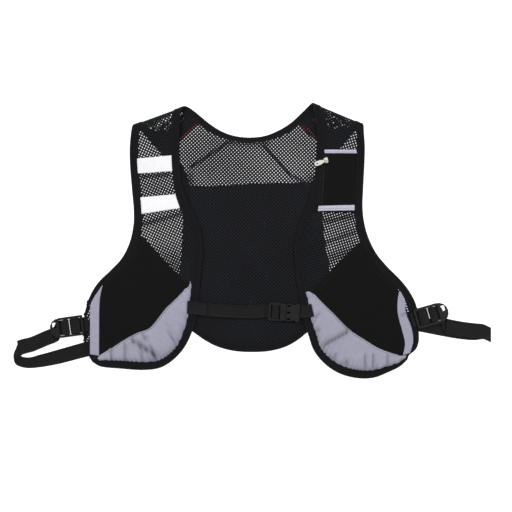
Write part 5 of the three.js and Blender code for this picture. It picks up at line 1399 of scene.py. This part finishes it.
def make_webbing(name, rows, width, steps=10, thickness=WEBBING_THICKNESS):
    """Webbing through a route's rows; its ribs run across and its edges are thicker."""
    lows, highs = (
        through(np.array([(*plan(*row[k : k + 2]), row[4]) for row in rows], dtype=float), steps) for k in (0, 2)
    )
    shares = np.interp(np.arange(len(lows)) / steps, np.arange(len(rows)), [r[5] if len(r) > 5 else 1 for r in rows])
    middle = (lows + highs) / 2
    across = highs - lows
    across /= np.linalg.norm(across, axis=1)[:, None]
    up = np.cross(across, np.gradient(lows + highs, axis=0))
    up /= np.linalg.norm(up, axis=1)[:, None]
    run = np.concatenate([[0], np.cumsum(np.linalg.norm(np.diff(middle, axis=0), axis=1))])
    section = WEBBING_SECTION + [(share, -rise) for share, rise in WEBBING_SECTION[-2:0:-1]]
    rings = [
        middle + across * (share * width * shares / 2)[:, None] + up * (rise * thickness / 2) for share, rise in section
    ]
    points = np.stack(rings, 1).reshape(-1, 3)
    points[:, 2] = np.maximum(points[:, 2], 0)
    uvs = np.stack([np.stack([run, np.full(len(run), share * width / 2)], 1) for share, _ in section], 1)
    around = len(section)
    station, k = np.arange(len(middle) - 1)[:, None] * around, np.arange(around)
    after = (k + 1) % around
    sides = np.stack([station + k, station + after, station + around + after, station + around + k], -1)
    last = (len(middle) - 1) * around
    faces = [*sides.reshape(-1, 4).tolist(), list(range(around))[::-1], [last + i for i in range(around)]]
    return make_piece(name, points, faces, webbing_weave, uvs.reshape(-1, 2))


def rows_on(place, heading, stations):
    """Route rows across a lock or buckle, from (distance along it, height)."""
    angle = math.radians(heading)
    turn = np.array([[math.cos(angle), -math.sin(angle)], [math.sin(angle), math.cos(angle)]])
    shares = np.array([HALF_WIDTH, STRAP_TO_SHOULDER])
    return [
        (*((place + turn @ (along, -1)) / shares), *((place + turn @ (along, 1)) / shares), z) for along, z in stations
    ]


def over_bar(edge, start, end, rest):
    """Under a slot's first edge, up through it, over the bar and down into the next slot."""
    travel = math.copysign(1, end - start)
    top = rest + BAR_THICKNESS + CLEARANCE + WEBBING_THICKNESS / 2
    bend = WEBBING_THICKNESS * 0.9
    return [
        (edge - travel * bend, rest - WEBBING_THICKNESS * 0.8),
        (edge + travel * bend * 0.7, rest - WEBBING_THICKNESS * 0.65),
        (start, rest + BAR_THICKNESS * 0.75),
        (start + travel * bend, top),
        (end - travel * bend, top),
        (end, rest + BAR_THICKNESS * 0.75),
        (end + travel * 0.1, rest + BAR_THICKNESS * 0.1),
    ]


turn = math.radians(BUCKLE_HEADING)
buckle_place = np.array(plan(*BUCKLE_END)) - BUCKLE_LENGTH * np.array((math.cos(turn), math.sin(turn)))
middles = [BUCKLE_LENGTH * sum(slot) / 2 for slot in (BUCKLE_SLOT, BUCKLE_BACK_SLOT)]
over = over_bar(BUCKLE_LENGTH * BUCKLE_SLOT[0], *middles, BUCKLE_REST)
before = -2 * WEBBING_THICKNESS
route = CHEST_STRAP_LEFT + rows_on(buckle_place, BUCKLE_HEADING, [(before, STRAP_AT_BUCKLE), *over])
strap = make_webbing("chest_webbing_left", route, CHEST_WEBBING_WIDTH)
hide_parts("chest_strap_left")
lying = CHEST_STRAP_LEFT[2:] + rows_on(buckle_place, BUCKLE_HEADING, [(2 * before, STRAP_AT_BUCKLE)])
lying = [(*row[:4], row[4] + WEBBING_THICKNESS + CLEARANCE) for row in lying]
tail = make_webbing("chest_webbing_tail", lying, CHEST_WEBBING_WIDTH)
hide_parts("chest_strap_tail")
short = make_webbing("chest_webbing_right", CHEST_STRAP_RIGHT, CHEST_WEBBING_WIDTH)
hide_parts("chest_strap_right")

for side, (u, v, heading, seam) in LOCKS.items():
    place = np.array(plan(u, v))
    middle = {slot: LOCK_LENGTH * sum(slot) / 2 for slot in (RIM_SLOT, TAB_SLOT)}
    strap_down = LOCK_LENGTH * MID_SLOT[1] - WEBBING_THICKNESS
    tab_down = LOCK_LENGTH * MID_SLOT[0] + WEBBING_THICKNESS
    over = over_bar(LOCK_LENGTH * TAB_SLOT[1], middle[TAB_SLOT], strap_down, LOCK_REST)
    strap = make_webbing(f"side_webbing_{side}", SIDE_STRAP[side] + rows_on(place, heading, over), SIDE_WEBBING_WIDTH)
    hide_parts(f"side_strap_{side}")
    tail = make_webbing(f"side_webbing_tail_{side}", SIDE_TAIL[side], SIDE_WEBBING_WIDTH)
    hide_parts(f"side_strap_tail_{side}")
    through_rim = over_bar(LOCK_LENGTH * RIM_SLOT[0], middle[RIM_SLOT], tab_down, LOCK_REST)
    tab = rows_on(place, heading, [(seam, TAB_HEIGHT), *through_rim])
    tab = make_webbing(f"lock_webbing_{side}", tab, SIDE_WEBBING_WIDTH)
    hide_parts(f"side_tab_{side}")


# ---- Buckle and ladder locks ---------------------------------------------------------
# Injection-moulded acetal, black with a satin skin: a two-part side-release buckle and two
# ladder locks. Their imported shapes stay, with the mould's small edge radius added.
acetal, shader = new_material("acetal_satin_moulded", 0.42, 0.2)
tree = acetal.node_tree
where = add_node(tree, "ShaderNodeTexCoord").outputs["Object"]
grain = add_node(tree, "ShaderNodeTexNoise", None, {"Vector": where, "Scale": 1400, "Detail": 3}).outputs[0]
rub = add_node(tree, "ShaderNodeTexNoise", None, {"Vector": where, "Scale": 90, "Detail": 4}).outputs[0]
finish_cloth(acetal, shader, "#0a0a0b", "#161718", product(tree, grain, rub, "ADD"), 0.02, 0.35)


def round_edges(node, material, radius):
    """Gives a packed rigid part its finish and a small radius on its sharp edges."""
    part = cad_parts[node]
    part.data.materials.clear()
    part.data.materials.append(material)
    bevel = part.modifiers.new("mould_radius", "BEVEL")
    bevel.width = radius * MM
    bevel.segments = 2
    bevel.limit_method = "ANGLE"
    bevel.angle_limit = math.radians(35)
    bevel.harden_normals = True


for node in ("buckle_prongs", "buckle_socket", "ladder_lock_left", "ladder_lock_right"):
    round_edges(node, acetal, 0.45)


# ---- Zip slider and pull -------------------------------------------------------------
# Die-cast zinc with baked ivory enamel, finely specked; its wear along the edges is not drawn. The pull hangs
# on the slider's bridge and lies to the left.
enamel, shader = new_material("ivory_enamel_on_zinc", 0.38, 0.5)
tree = enamel.node_tree
where = add_node(tree, "ShaderNodeTexCoord").outputs["Object"]
speck = add_node(tree, "ShaderNodeTexNoise", None, {"Vector": where, "Scale": 700, "Detail": 4}).outputs[0]
finish_cloth(enamel, shader, "#c9c5ba", "#e6e3da", speck, 0.03, 0.4)
for node in ("zip_slider", "zip_pull"):
    round_edges(node, enamel, 0.25)
